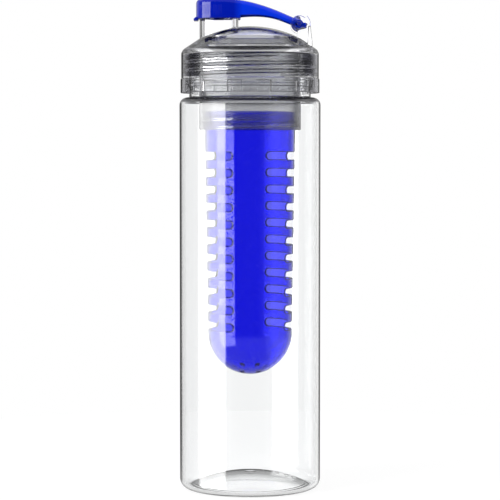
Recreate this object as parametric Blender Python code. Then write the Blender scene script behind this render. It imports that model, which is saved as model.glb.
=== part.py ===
"""A clear sports bottle with a screw lid, a flip cap over its spout and a fruit infuser.

Lengths are in metres and +Z is up. The origin is the centre of the ring that the bottle
stands on. The spout is on the -X side of the lid, the hinge of the flip cap on its +X side.
"""
import math

import bmesh
import bpy
from mathutils import Matrix, Vector

MM = 0.001
TURN = 2.0 * math.pi

# Facets
ROUND_STEPS = 40
SPOUT_STEPS = 24
PIN_STEPS = 16
ARC_STEPS = 4
CURVE_STEPS = 8
SLOT_FACETS = 3
SLOT_END_STEPS = 3
SMOOTH_ANGLE = math.radians(35.0)

# Clearances
FIT_GAP = 0.3 * MM
CUT_OVERRUN = 1.0 * MM
RIDGE_SINK = 0.4 * MM

# Bottle body
BODY_RADIUS = 35.0 * MM
BODY_WALL = 1.6 * MM
SHOULDER_HEIGHT = 194.7 * MM
SHOULDER_CORNER = 3.8 * MM
SHOULDER_FLAT = 1.1 * MM
HEEL_RADIUS = 5.0 * MM
FOOT_WIDTH = 2.0 * MM
PUNT_DEPTH = 6.0 * MM
BASE_THICKNESS = 2.4 * MM

# Bottle neck and its thread
NECK_WALL = 2.1 * MM
NECK_HEIGHT = 21.3 * MM
NECK_LIP_ROUND = 0.6 * MM
BEAD_RISE = 5.3 * MM
BEAD_WIDTH = 1.5 * MM
BEAD_DEPTH = 0.7 * MM
THREAD_PITCH = 4.0 * MM
THREAD_DEPTH = 1.8 * MM
THREAD_BASE = 2.0 * MM
THREAD_TIP = 0.9 * MM
THREAD_PLAY = 0.5 * MM
THREAD_START_DROP = 1.1 * MM
THREAD_START_ANGLE = math.radians(-63.0)
NECK_THREAD_TURNS = 2.25
LID_THREAD_TURNS = 2.0

# Screw lid
LID_LIFT_OFF_SHOULDER = 2.2 * MM
LID_WALL = 1.7 * MM
LID_DOME_WALL = 1.6 * MM
LID_CORNER = 3.6 * MM
LID_CONE_SLOPE = math.radians(33.4)
LID_HEIGHT_OVER_SEAT = 11.9 * MM
DOME_EDGE_INSET = 9.9 * MM
DOME_RISE = 5.6 * MM
BAND_HEIGHT = 6.8 * MM
BAND_STEP = 0.35 * MM
SEAT_CHAMFER = 2.0 * MM
SEAT_WIDTH = 3.2 * MM
POCKET_COUNT = 15
POCKET_SHARE = 0.5
POCKET_TURN = math.radians(17.65)
POCKET_DEPTH = 0.9 * MM
POCKET_HEIGHT = 5.6 * MM

# Gasket under the lid
GASKET_THICKNESS = 1.4 * MM
GASKET_INSET = 0.4 * MM
GASKET_WIDTH = 2.2 * MM

# Infuser collar
COLLAR_NECK_GAP = 2.8 * MM
COLLAR_WALL = 1.0 * MM
COLLAR_REACH = 16.0 * MM
COLLAR_SEAT_RISE = 3.9 * MM
COLLAR_SOCKET_WALL = 1.4 * MM
SPIGOT_WALL = 1.5 * MM
SPIGOT_DEPTH = 4.5 * MM

# Infuser
INFUSER_THREAD_PITCH = 3.9 * MM
INFUSER_THREAD_DEPTH = 1.0 * MM
INFUSER_THREAD_BASE = 1.2 * MM
INFUSER_THREAD_TIP = 0.5 * MM
INFUSER_THREAD_TURNS = 1.5
COLLAR_THREAD_DEPTH = 0.5 * MM
COLLAR_THREAD_TURNS = 1.25
INFUSER_ENGAGEMENT = 9.0 * MM
INFUSER_THREAD_DROP = 1.4 * MM
INFUSER_LENGTH = 130.6 * MM
INFUSER_TAPER = 1.5 * MM
INFUSER_WALL = 1.6 * MM
SLOT_COUNT = 11
SLOT_PITCH = 8.42 * MM
SLOT_HEIGHT = 3.7 * MM
SLOT_FIRST_DROP = 21.9 * MM
SLOT_SPAN = math.radians(100.7)
SLOT_TURN = math.radians(15.7)
DRAIN_COUNT = 6
DRAIN_RADIUS = 1.3 * MM
DRAIN_RING_RADIUS = 8.0 * MM

# Drinking spout
SPOUT_OVERHANG = 0.75 * MM
SPOUT_RADIUS = 9.6 * MM
SPOUT_WALL = 2.3 * MM
SPOUT_RISE = 10.6 * MM
SPOUT_TAPER = 1.0 * MM
SPOUT_TAPER_HEIGHT = 6.5 * MM

# Hinge on the lid
HINGE_RISE = 0.9 * MM
PIN_RADIUS = 1.0 * MM
BARREL_RADIUS = 2.1 * MM
BARREL_WIDTH = 11.0 * MM
EAR_RADIUS = 4.1 * MM
EAR_THICKNESS = 2.2 * MM
EAR_FRONT = 0.9 * MM
EAR_BACK = 4.4 * MM
GUARD_RADIUS = 5.5 * MM
GUARD_BACK = 6.5 * MM
GUARD_TOP_ANGLE = math.radians(45.0)
GUARD_NOTCH_DROP = 1.0 * MM

# Flip cap
POD_SHIFT = 0.35 * MM
POD_WALL = 1.05 * MM
POD_DEPTH = 10.2 * MM
POD_CORNER = 1.7 * MM
CAP_SKIN = 1.6 * MM
CAP_CROWN = 0.8 * MM
ARM_SLOPE = math.radians(21.0)
ARM_THICKNESS = 3.45 * MM
ARM_STEP = 1.3 * MM
ARM_WALL = 1.3 * MM
ARM_TOP_LEAD = 19.0 * MM
ARM_TOP_TAIL = 8.0 * MM
ARM_UNDER_LEAD = 15.0 * MM
ARM_UNDER_RISE = math.radians(5.0)
ARM_UNDER_TAIL = 10.0 * MM
ARM_HOLLOW_END = 9.5 * MM
ARM_NECK_LENGTH = 8.0 * MM
TAIL_REACH = 3.3 * MM
TAIL_TOP = 0.6 * MM
TAIL_BOTTOM = 1.6 * MM
THUMB_REACH = 1.2 * MM
THUMB_THICKNESS = 0.9 * MM
THUMB_WIDTH = 8.0 * MM

# Seal in the flip cap
SEAL_DISC_THICKNESS = 1.0 * MM
SEAL_DISC_MARGIN = 0.7 * MM
PLUG_DEPTH = 2.6 * MM
PLUG_PLAY = 0.4 * MM
PLUG_TAPER = 0.9 * MM

# Sizes that follow from the body and its neck
FOOT_RADIUS = BODY_RADIUS - HEEL_RADIUS
PUNT_RADIUS = FOOT_RADIUS - FOOT_WIDTH
NECK_RADIUS = BODY_RADIUS - SHOULDER_CORNER - SHOULDER_FLAT
NECK_BORE = NECK_RADIUS - NECK_WALL
NECK_TOP = SHOULDER_HEIGHT + NECK_HEIGHT
THREAD_TOP = NECK_TOP - THREAD_START_DROP

# Sizes that follow from the lid's fit on the neck
LID_BOTTOM = SHOULDER_HEIGHT + LID_LIFT_OFF_SHOULDER
BAND_TOP = LID_BOTTOM + BAND_HEIGHT
SKIRT_BORE = NECK_RADIUS + THREAD_DEPTH + THREAD_PLAY
SKIRT_RADIUS = SKIRT_BORE + LID_WALL
BAND_RADIUS = SKIRT_RADIUS + BAND_STEP
GASKET_BOTTOM = NECK_TOP + FIT_GAP
SEAT_HEIGHT = GASKET_BOTTOM + GASKET_THICKNESS + FIT_GAP
SEAT_OUTER = SKIRT_BORE - SEAT_CHAMFER
SEAT_INNER = SEAT_OUTER - SEAT_WIDTH
LID_TOP = SEAT_HEIGHT + LID_HEIGHT_OVER_SEAT
DOME_EDGE = SKIRT_RADIUS - DOME_EDGE_INSET
DOME_EDGE_HEIGHT = LID_TOP - DOME_RISE
DOME_SPHERE = (DOME_EDGE**2 + DOME_RISE**2) / (2.0 * DOME_RISE)

# Sizes that follow from the collar's way through the neck
COLLAR_RADIUS = NECK_BORE - COLLAR_NECK_GAP
COLLAR_BORE = COLLAR_RADIUS - COLLAR_WALL
COLLAR_SEAT = SEAT_HEIGHT + COLLAR_SEAT_RISE
COLLAR_TOP = COLLAR_SEAT - FIT_GAP
COLLAR_BOTTOM = SHOULDER_HEIGHT - COLLAR_REACH
SPIGOT_RADIUS = COLLAR_BORE - FIT_GAP
SPIGOT_BORE = SPIGOT_RADIUS - SPIGOT_WALL
INFUSER_CREST = COLLAR_BORE - COLLAR_THREAD_DEPTH - FIT_GAP
INFUSER_RADIUS = INFUSER_CREST - INFUSER_THREAD_DEPTH
INFUSER_TOP = COLLAR_BOTTOM + INFUSER_ENGAGEMENT
INFUSER_BOTTOM = INFUSER_TOP - INFUSER_LENGTH
INFUSER_END_RADIUS = INFUSER_RADIUS - INFUSER_TAPER
INFUSER_END_CENTRE = INFUSER_BOTTOM + INFUSER_END_RADIUS

# Sizes that follow from the spout and the hinge
SPOUT_OFFSET = DOME_EDGE + SPOUT_OVERHANG - SPOUT_RADIUS
SPOUT_TOP = LID_TOP + SPOUT_RISE
SPOUT_BORE = SPOUT_RADIUS - SPOUT_WALL
HINGE_X = DOME_EDGE
HINGE_HEIGHT = LID_TOP + HINGE_RISE
PIN_HOLE = PIN_RADIUS + FIT_GAP
EAR_INNER_Y = BARREL_WIDTH / 2.0 + FIT_GAP
EAR_OUTER_Y = EAR_INNER_Y + EAR_THICKNESS
POD_BORE = SPOUT_RADIUS + FIT_GAP
POD_RADIUS = POD_BORE + POD_WALL
POD_X = -SPOUT_OFFSET - POD_SHIFT
SEAL_BOTTOM = SPOUT_TOP + FIT_GAP
CAP_CEILING = SEAL_BOTTOM + SEAL_DISC_THICKNESS + FIT_GAP
CAP_TOP = CAP_CEILING + CAP_SKIN
POD_BOTTOM = CAP_TOP - POD_DEPTH


def clear_scene():
    """Empty the file of its objects."""
    for obj in list(bpy.data.objects):
        bpy.data.objects.remove(obj, do_unlink=True)


def plastic(name, colour, roughness, transmission=0.0):
    """A moulded plastic of one colour."""
    material = bpy.data.materials.new(name)
    material.use_nodes = True
    shader = material.node_tree.nodes["Principled BSDF"]
    shader.inputs["Base Color"].default_value = (*colour, 1.0)
    shader.inputs["Roughness"].default_value = roughness
    shader.inputs["Metallic"].default_value = 0.0
    shader.inputs["Transmission Weight"].default_value = transmission
    material.diffuse_color = (*colour, 1.0)
    return material


def axis_empty(name, location, parent=None):
    """An empty that marks a joint's axis."""
    empty = bpy.data.objects.new(name, None)
    bpy.context.collection.objects.link(empty)
    empty.location = Vector(location)
    if parent:
        empty.parent = parent
        empty.location = Vector(location) - parent.location
    return empty


def world_place(empty):
    """Where an empty stands, counted through its parents."""
    place = empty.location.copy()
    while empty.parent:
        empty = empty.parent
        place += empty.location
    return place


def mesh_object(name, points, faces, material=None, axis=None):
    """A closed mesh with its faces turned outwards, its origin on the axis that carries it."""
    mesh = bpy.data.meshes.new(name)
    mesh.from_pydata([tuple(p) for p in points], [], faces)
    shape = bmesh.new()
    shape.from_mesh(mesh)
    bmesh.ops.recalc_face_normals(shape, faces=shape.faces)
    shape.to_mesh(mesh)
    shape.free()
    mesh.shade_smooth()
    mesh.set_sharp_from_angle(angle=SMOOTH_ANGLE)
    obj = bpy.data.objects.new(name, mesh)
    bpy.context.collection.objects.link(obj)
    if material:
        mesh.materials.append(material)
    if axis:
        mesh.transform(Matrix.Translation(-world_place(axis)))
        obj.parent = axis
    return obj


def tool(obj):
    """Marks an object as a shape that others are joined with or cut by."""
    obj.hide_render = True
    obj.display_type = "WIRE"
    return obj


def combine(obj, other, operation):
    """Joins or cuts obj with a tool shape."""
    tool(other)
    modifier = obj.modifiers.new(other.name, "BOOLEAN")
    modifier.operation = operation
    modifier.solver = "EXACT"
    modifier.object = other


def arc(centre, radius, start, end, steps=ARC_STEPS):
    """Points along an arc, as (across, up) pairs, both ends included."""
    angles = [start + (end - start) * i / steps for i in range(steps + 1)]
    return [(centre[0] + radius * math.cos(a), centre[1] + radius * math.sin(a)) for a in angles]


def curve(p0, p1, p2, p3, steps=CURVE_STEPS):
    """Points along a cubic curve from p0 to p3, led by p1 and p2."""
    points = []
    for i in range(steps + 1):
        t = i / steps
        shares = ((1 - t) ** 3, 3 * (1 - t) ** 2 * t, 3 * (1 - t) * t * t, t**3)
        points.append(tuple(sum(s * p[k] for s, p in zip(shares, (p0, p1, p2, p3))) for k in (0, 1)))
    return points


def turned(name, outline, material=None, axis=None, steps=ROUND_STEPS, centre_x=0.0):
    """A closed outline of (radius, height) points turned about a vertical axis."""
    points, rings = [], []
    for radius, height in outline:
        if radius == 0:
            rings.append([len(points)] * steps)
            points.append((centre_x, 0.0, height))
            continue
        rings.append(list(range(len(points), len(points) + steps)))
        for i in range(steps):
            angle = TURN * i / steps
            points.append((centre_x + radius * math.cos(angle), radius * math.sin(angle), height))
    faces = []
    for ring, following in zip(rings, rings[1:] + rings[:1]):
        for i in range(steps):
            j = (i + 1) % steps
            corners = list(dict.fromkeys((ring[i], ring[j], following[j], following[i])))
            if len(corners) > 2:
                faces.append(corners)
    return mesh_object(name, points, faces, material, axis)


def ridge(name, wall, crest, pitch, base, tip, top, turns, top_angle):
    """A thread ridge: a tapered section carried along a right-handed helix on a wall.

    The section's foot is sunk in the wall, and its height dies away at both ends.
    """
    foot = wall - math.copysign(RIDGE_SINK, crest - wall)
    count = round(turns * ROUND_STEPS)
    fade = ROUND_STEPS // 8
    points, faces = [], []
    for i in range(count + 1):
        angle = top_angle - TURN * (count - i) / ROUND_STEPS
        height = top - pitch * (count - i) / ROUND_STEPS
        strength = min(1.0, (min(i, count - i) + 1) / (fade + 1))
        reach = wall + (crest - wall) * strength
        for radius, offset in ((foot, -base / 2), (reach, -tip / 2), (reach, tip / 2), (foot, base / 2)):
            points.append((radius * math.cos(angle), radius * math.sin(angle), height + offset))
    for i in range(count):
        for k in range(4):
            m = (k + 1) % 4
            faces.append((4 * i + k, 4 * i + m, 4 * i + 4 + m, 4 * i + 4 + k))
    faces.append((0, 1, 2, 3))
    faces.append(tuple(4 * count + k for k in (3, 2, 1, 0)))
    return mesh_object(name, points, faces)


def prism_y(name, outline, y_low, y_high, material=None, axis=None):
    """An outline of (x, z) points carried along Y."""
    points = [(x, y, z) for y in (y_low, y_high) for x, z in outline]
    return mesh_object(name, points, prism_faces(len(outline)), material, axis)


def prism_z(name, outline, z_low, z_high):
    """An outline of (x, y) points carried along Z."""
    points = [(x, y, z) for z in (z_low, z_high) for x, y in outline]
    return mesh_object(name, points, prism_faces(len(outline)))


def prism_faces(count):
    """The faces of a prism whose two outlines have count points each."""
    sides = [(i, (i + 1) % count, count + (i + 1) % count, count + i) for i in range(count)]
    return sides + [tuple(range(count)), tuple(range(2 * count - 1, count - 1, -1))]


def rod_y(name, x, z, radius, half_length, material=None, axis=None):
    """A round rod along Y."""
    outline = arc((x, z), radius, 0.0, TURN, PIN_STEPS)[:-1]
    return prism_y(name, outline, -half_length, half_length, material, axis)


def bottle_outline():
    """The section of the bottle, from the middle of the punt out, up, over the lip and down inside."""
    sphere = (PUNT_RADIUS**2 + PUNT_DEPTH**2) / (2.0 * PUNT_DEPTH)
    spread = math.asin(PUNT_RADIUS / sphere)
    punt_centre = (0.0, PUNT_DEPTH - sphere)
    punt = arc(punt_centre, sphere, math.pi / 2, math.pi / 2 - spread, ARC_STEPS)
    punt[0] = (0.0, PUNT_DEPTH)
    heel = arc((FOOT_RADIUS, HEEL_RADIUS), HEEL_RADIUS, -math.pi / 2, 0.0)
    shoulder_centre = (BODY_RADIUS - SHOULDER_CORNER, SHOULDER_HEIGHT - SHOULDER_CORNER)
    shoulder = arc(shoulder_centre, SHOULDER_CORNER, 0.0, math.pi / 2)
    bead_low = SHOULDER_HEIGHT + BEAD_RISE
    bead_high = bead_low + BEAD_WIDTH
    bead = [
        (NECK_RADIUS, SHOULDER_HEIGHT),
        (NECK_RADIUS, bead_low),
        (NECK_RADIUS + BEAD_DEPTH, bead_low),
        (NECK_RADIUS + BEAD_DEPTH, bead_high),
        (NECK_RADIUS, bead_high),
    ]
    lip_height = NECK_TOP - NECK_LIP_ROUND
    lip = arc((NECK_RADIUS - NECK_LIP_ROUND, lip_height), NECK_LIP_ROUND, 0.0, math.pi / 2, 2)
    lip += arc((NECK_BORE + NECK_LIP_ROUND, lip_height), NECK_LIP_ROUND, math.pi / 2, math.pi, 2)
    ceiling = SHOULDER_HEIGHT - BODY_WALL
    inner_radius = BODY_RADIUS - BODY_WALL
    inner_corner = SHOULDER_CORNER - BODY_WALL
    inside = [(NECK_BORE, ceiling)]
    inside += arc((inner_radius - inner_corner, ceiling - inner_corner), inner_corner, math.pi / 2, 0.0)
    inside += arc((FOOT_RADIUS, HEEL_RADIUS), HEEL_RADIUS - BODY_WALL, 0.0, -math.pi / 2)
    floor = arc(punt_centre, sphere + BASE_THICKNESS, math.pi / 2 - spread, math.pi / 2, ARC_STEPS)
    floor[-1] = (0.0, PUNT_DEPTH + BASE_THICKNESS)
    return punt + heel + shoulder + bead + lip + inside + floor


def make_bottle(clear):
    """The body: straight wall, rounded shoulder and heel, threaded neck and domed-in base."""
    body = turned("bottle_body", bottle_outline(), clear)
    thread = ridge(
        "neck_thread_tool",
        NECK_RADIUS,
        NECK_RADIUS + THREAD_DEPTH,
        THREAD_PITCH,
        THREAD_BASE,
        THREAD_TIP,
        THREAD_TOP,
        NECK_THREAD_TURNS,
        THREAD_START_ANGLE,
    )
    combine(body, thread, "UNION")
    return body


def cone_height(radius):
    """The height of the lid's sloping flank at a radius."""
    return DOME_EDGE_HEIGHT - (radius - DOME_EDGE) * math.tan(LID_CONE_SLOPE)


def lid_outside():
    """The lid's outer section, from its middle out and down, as a filled shape."""
    spread = math.asin(DOME_EDGE / DOME_SPHERE)
    dome = arc((0.0, LID_TOP - DOME_SPHERE), DOME_SPHERE, math.pi / 2, math.pi / 2 - spread, 5)
    dome[0] = (0.0, LID_TOP)
    flank_turn = math.pi / 2 - LID_CONE_SLOPE
    corner_top = cone_height(SKIRT_RADIUS) - LID_CORNER * math.tan(flank_turn / 2.0)
    corner = arc((SKIRT_RADIUS - LID_CORNER, corner_top), LID_CORNER, flank_turn, 0.0)
    band = [
        (SKIRT_RADIUS, BAND_TOP + BAND_STEP),
        (BAND_RADIUS, BAND_TOP),
        (BAND_RADIUS, LID_BOTTOM),
        (0.0, LID_BOTTOM),
    ]
    return dome + corner + band


def lid_inside():
    """The section of the hollow under the lid, from its middle out and down."""
    sphere = DOME_SPHERE - LID_DOME_WALL
    spread = math.asin(SPIGOT_BORE / sphere)
    dome = arc((0.0, LID_TOP - DOME_SPHERE), sphere, math.pi / 2, math.pi / 2 - spread, 4)
    dome[0] = (0.0, LID_TOP - LID_DOME_WALL)
    spigot_end = COLLAR_SEAT - SPIGOT_DEPTH
    socket = COLLAR_RADIUS + FIT_GAP
    socket_top = cone_height(socket) - COLLAR_SOCKET_WALL
    return dome + [
        (SPIGOT_BORE, spigot_end),
        (SPIGOT_RADIUS, spigot_end),
        (SPIGOT_RADIUS, COLLAR_SEAT),
        (socket, min(COLLAR_SEAT, socket_top)),
        (SEAT_INNER, SEAT_HEIGHT),
        (SEAT_OUTER, SEAT_HEIGHT),
        (SKIRT_BORE, SEAT_HEIGHT - SEAT_CHAMFER),
        (SKIRT_BORE, LID_BOTTOM - CUT_OVERRUN),
        (0.0, LID_BOTTOM - CUT_OVERRUN),
    ]


def spout_outline(radius, low, high, taper=0.0, taper_height=0.0):
    """A filled section for the spout or its bore."""
    return [(0.0, high), (radius - taper, high), (radius, high - taper_height), (radius, low), (0.0, low)]


def ear_outline():
    """One hinge ear seen from the side: a post, a round head about the pin and a guard behind it."""
    root = cone_height(HINGE_X + GUARD_BACK) - LID_DOME_WALL
    centre = (HINGE_X, HINGE_HEIGHT)
    head_start = TURN - math.acos(-EAR_FRONT / EAR_RADIUS)
    head = arc(centre, EAR_RADIUS, head_start, GUARD_TOP_ANGLE, 2 * ARC_STEPS)
    guard = arc(centre, GUARD_RADIUS, GUARD_TOP_ANGLE, 0.0, 3)
    front = (HINGE_X - EAR_FRONT, root)
    return [front] + head + guard + [(HINGE_X + GUARD_BACK, root + LID_CORNER), (HINGE_X + GUARD_BACK, root)]


def guard_outline():
    """The web that joins the ears behind the barrel, low enough to let the arm swing back."""
    root = cone_height(HINGE_X + GUARD_BACK) - LID_DOME_WALL
    top = HINGE_HEIGHT - GUARD_NOTCH_DROP
    return [
        (HINGE_X + EAR_BACK, root),
        (HINGE_X + GUARD_BACK, root),
        (HINGE_X + GUARD_BACK, root + LID_CORNER),
        (HINGE_X + GUARD_RADIUS, top),
        (HINGE_X + EAR_BACK, top),
    ]


def pocket_ring():
    """Shallow pockets round the inside of the band, open at the bottom, as one set of cutters."""
    points, faces = [], []
    half = TURN / POCKET_COUNT * POCKET_SHARE / 2.0
    heights = (LID_BOTTOM - CUT_OVERRUN / 2.0, LID_BOTTOM + POCKET_HEIGHT)
    radii = (SKIRT_BORE - CUT_OVERRUN, SKIRT_BORE + POCKET_DEPTH)
    for i in range(POCKET_COUNT):
        middle = POCKET_TURN + TURN * i / POCKET_COUNT
        start = len(points)
        for height in heights:
            for radius, side in ((radii[0], -half), (radii[1], -half), (radii[1], half), (radii[0], half)):
                angle = middle + side
                points.append((radius * math.cos(angle), radius * math.sin(angle), height))
        faces += [tuple(start + k for k in face) for face in prism_faces(4)]
    return mesh_object("band_pocket_tool", points, faces)


def make_lid(clear, axis):
    """The lid: a hollow dome and skirt, with the spout, the hinge ears and the inner thread."""
    lid = turned("screw_lid", lid_outside(), clear, axis)
    spout_root = cone_height(SPOUT_OFFSET + SPOUT_RADIUS) - LID_DOME_WALL / 2.0
    post = spout_outline(SPOUT_RADIUS, spout_root, SPOUT_TOP, SPOUT_TAPER, SPOUT_TAPER_HEIGHT)
    combine(lid, turned("spout_tool", post, steps=SPOUT_STEPS, centre_x=-SPOUT_OFFSET), "UNION")
    for side, name in ((-1, "front"), (1, "back")):
        low, high = sorted((side * EAR_INNER_Y, side * EAR_OUTER_Y))
        combine(lid, prism_y(f"{name}_ear_tool", ear_outline(), low, high), "UNION")
    half_web = EAR_INNER_Y + EAR_THICKNESS / 2.0
    combine(lid, prism_y("guard_tool", guard_outline(), -half_web, half_web), "UNION")
    hole_reach = EAR_OUTER_Y + CUT_OVERRUN
    combine(lid, rod_y("ear_hole_tool", HINGE_X, HINGE_HEIGHT, PIN_HOLE, hole_reach), "DIFFERENCE")
    hollow = turned("lid_hollow_tool", lid_inside())
    combine(hollow, pocket_ring(), "UNION")
    combine(lid, hollow, "DIFFERENCE")
    bore = spout_outline(SPOUT_BORE, SEAT_HEIGHT, SPOUT_TOP + CUT_OVERRUN)
    combine(lid, turned("spout_bore_tool", bore, steps=SPOUT_STEPS, centre_x=-SPOUT_OFFSET), "DIFFERENCE")
    thread = ridge(
        "lid_thread_tool",
        SKIRT_BORE,
        NECK_RADIUS + THREAD_PLAY,
        THREAD_PITCH,
        THREAD_BASE,
        THREAD_TIP,
        THREAD_TOP - THREAD_PITCH / 2.0,
        LID_THREAD_TURNS,
        THREAD_START_ANGLE,
    )
    combine(lid, thread, "UNION")
    return lid


def make_gasket(silicone, axis):
    """A flat ring that the lid presses on the neck's lip."""
    outer = SEAT_OUTER - GASKET_INSET
    inner = outer - GASKET_WIDTH
    top = GASKET_BOTTOM + GASKET_THICKNESS
    section = [(outer, top), (outer, GASKET_BOTTOM), (inner, GASKET_BOTTOM), (inner, top)]
    return turned("lid_gasket", section, silicone, axis)


def make_collar(translucent, axis):
    """The tube that hangs from the lid through the neck and holds the infuser."""
    section = [
        (COLLAR_RADIUS, COLLAR_TOP),
        (COLLAR_RADIUS, COLLAR_BOTTOM),
        (COLLAR_BORE, COLLAR_BOTTOM),
        (COLLAR_BORE, COLLAR_TOP),
    ]
    collar = turned("infuser_collar", section, translucent, axis)
    thread = ridge(
        "collar_thread_tool",
        COLLAR_BORE,
        COLLAR_BORE - COLLAR_THREAD_DEPTH,
        INFUSER_THREAD_PITCH,
        INFUSER_THREAD_BASE,
        INFUSER_THREAD_TIP,
        INFUSER_TOP - INFUSER_THREAD_DROP - INFUSER_THREAD_PITCH / 2.0,
        COLLAR_THREAD_TURNS,
        THREAD_START_ANGLE,
    )
    combine(collar, thread, "UNION")
    return collar


def infuser_outline():
    """The section of the infuser: a tube that narrows downwards to a half-ball bottom."""
    outer = arc((0.0, INFUSER_END_CENTRE), INFUSER_END_RADIUS, 0.0, -math.pi / 2, 6)
    outer[-1] = (0.0, INFUSER_BOTTOM)
    inner = arc((0.0, INFUSER_END_CENTRE), INFUSER_END_RADIUS - INFUSER_WALL, -math.pi / 2, 0.0, 6)
    inner[0] = (0.0, INFUSER_BOTTOM + INFUSER_WALL)
    bore = INFUSER_RADIUS - INFUSER_WALL
    return [(INFUSER_RADIUS, INFUSER_TOP), (INFUSER_RADIUS, COLLAR_BOTTOM)] + outer + inner + [
        (bore, COLLAR_BOTTOM),
        (bore, INFUSER_TOP),
    ]


def slot_edge(radius):
    """The upper edge of a slot from one tip to the other, as (angle, height over its middle) points."""
    half = SLOT_HEIGHT / 2.0
    straight = SLOT_SPAN / 2.0 - half / radius
    right = arc((0.0, 0.0), half, 0.0, math.pi / 2, SLOT_END_STEPS)
    run = [(straight - 2.0 * straight * i / SLOT_FACETS, half) for i in range(SLOT_FACETS + 1)]
    tip = [(straight + across / radius, height) for across, height in right[:-1]]
    tip[0] = (SLOT_SPAN / 2.0, 0.0)
    return tip + run + [(-angle, height) for angle, height in reversed(tip)]


def slot_set(name, middle):
    """The slots of one side of the infuser, as one set of cutters that bend round the tube."""
    wall_radius = (INFUSER_RADIUS + INFUSER_END_RADIUS) / 2.0
    inside = wall_radius - INFUSER_TAPER - 2.0 * INFUSER_WALL
    outside = wall_radius + INFUSER_TAPER + INFUSER_WALL
    points, faces = [], []
    for i in range(SLOT_COUNT):
        centre = INFUSER_TOP - SLOT_FIRST_DROP - i * SLOT_PITCH
        rings = []
        for angle, height in slot_edge(wall_radius):
            across, up = math.cos(middle + angle), math.sin(middle + angle)
            start = len(points)
            if height == 0:
                points += [(r * across, r * up, centre) for r in (inside, outside)]
                rings.append((start, start + 1, start + 1, start))
                continue
            corners = ((inside, -height), (outside, -height), (outside, height), (inside, height))
            points += [(r * across, r * up, centre + z) for r, z in corners]
            rings.append(tuple(range(start, start + 4)))
        for ring, following in zip(rings, rings[1:]):
            for k in range(4):
                m = (k + 1) % 4
                corners = list(dict.fromkeys((ring[k], ring[m], following[m], following[k])))
                if len(corners) > 2:
                    faces.append(corners)
    return mesh_object(name, points, faces)


def drain_ring():
    """Round holes through the infuser's bottom, as one set of cutters."""
    points, faces = [], []
    for i in range(DRAIN_COUNT):
        angle = TURN * i / DRAIN_COUNT
        centre = (DRAIN_RING_RADIUS * math.cos(angle), DRAIN_RING_RADIUS * math.sin(angle))
        outline = arc(centre, DRAIN_RADIUS, 0.0, TURN, 8)[:-1]
        start = len(points)
        for height in (INFUSER_BOTTOM - CUT_OVERRUN, INFUSER_BOTTOM + INFUSER_END_RADIUS / 2.0):
            points += [(x, y, height) for x, y in outline]
        faces += [tuple(start + k for k in face) for face in prism_faces(8)]
    return mesh_object("drain_tool", points, faces)


def make_infuser(blue_clear, axis):
    """The slotted tube that holds fruit, screwed into the collar."""
    infuser = turned("infuser", infuser_outline(), blue_clear, axis)
    combine(infuser, slot_set("right_slot_tool", SLOT_TURN), "DIFFERENCE")
    combine(infuser, slot_set("left_slot_tool", SLOT_TURN + math.pi), "DIFFERENCE")
    combine(infuser, drain_ring(), "DIFFERENCE")
    thread = ridge(
        "infuser_thread_tool",
        INFUSER_RADIUS,
        INFUSER_CREST,
        INFUSER_THREAD_PITCH,
        INFUSER_THREAD_BASE,
        INFUSER_THREAD_TIP,
        INFUSER_TOP - INFUSER_THREAD_DROP,
        INFUSER_THREAD_TURNS,
        THREAD_START_ANGLE,
    )
    combine(infuser, thread, "UNION")
    return infuser


def cap_side(skin, overrun):
    """The flip cap seen from the side, drawn in by a skin; overrun carries its underside down."""
    normal = (math.sin(ARM_SLOPE), math.cos(ARM_SLOPE))
    along = (math.cos(ARM_SLOPE), -math.sin(ARM_SLOPE))
    root = (HINGE_X + BARREL_RADIUS * normal[0], HINGE_HEIGHT + BARREL_RADIUS * normal[1])
    crown = (-SPOUT_OFFSET, CAP_TOP - skin)
    top_end = (root[0] - skin * normal[0], root[1] - skin * normal[1])
    top_lead = (crown[0] + ARM_TOP_LEAD, crown[1])
    top_tail = (top_end[0] - ARM_TOP_TAIL * along[0], top_end[1] - ARM_TOP_TAIL * along[1])
    top = curve(crown, top_lead, top_tail, top_end)
    pod_left = POD_X - POD_RADIUS
    corner_height = CAP_TOP - CAP_CROWN - POD_CORNER
    corner = arc((pod_left + POD_CORNER, corner_height), POD_CORNER - skin, math.pi, math.pi / 2)
    under_start = (POD_X + POD_RADIUS, POD_BOTTOM + ARM_STEP)
    under_end = (root[0] - ARM_THICKNESS * normal[0], root[1] - ARM_THICKNESS * normal[1])
    lead = (math.cos(ARM_UNDER_RISE), math.sin(ARM_UNDER_RISE))
    under_lead = (under_start[0] + ARM_UNDER_LEAD * lead[0], under_start[1] + ARM_UNDER_LEAD * lead[1])
    under_tail = (under_end[0] - ARM_UNDER_TAIL * along[0], under_end[1] - ARM_UNDER_TAIL * along[1])
    under = curve(under_end, under_tail, under_lead, under_start)
    under = [(x, z - overrun) for x, z in under]
    pod = [(under[-1][0], POD_BOTTOM - overrun), (pod_left + skin, POD_BOTTOM - overrun)]
    return corner + top + under + pod


def cap_plan(inset, pod_radius, pod_x, arm_end):
    """The flip cap seen from above: a round pod, sides that close in, and a neck between the ears."""
    half = BARREL_WIDTH / 2.0 - inset
    neck = min(HINGE_X - ARM_NECK_LENGTH, arm_end)
    reach = math.hypot(neck - pod_x, half)
    touch = math.atan2(half, neck - pod_x) + math.acos(pod_radius / reach)
    pod = arc((pod_x, 0.0), pod_radius, touch, TURN - touch, SPOUT_STEPS)
    if neck < arm_end:
        return pod + [(neck, -half), (arm_end, -half), (arm_end, half), (neck, half)]
    return pod + [(neck, -half), (neck, half)]


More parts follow.
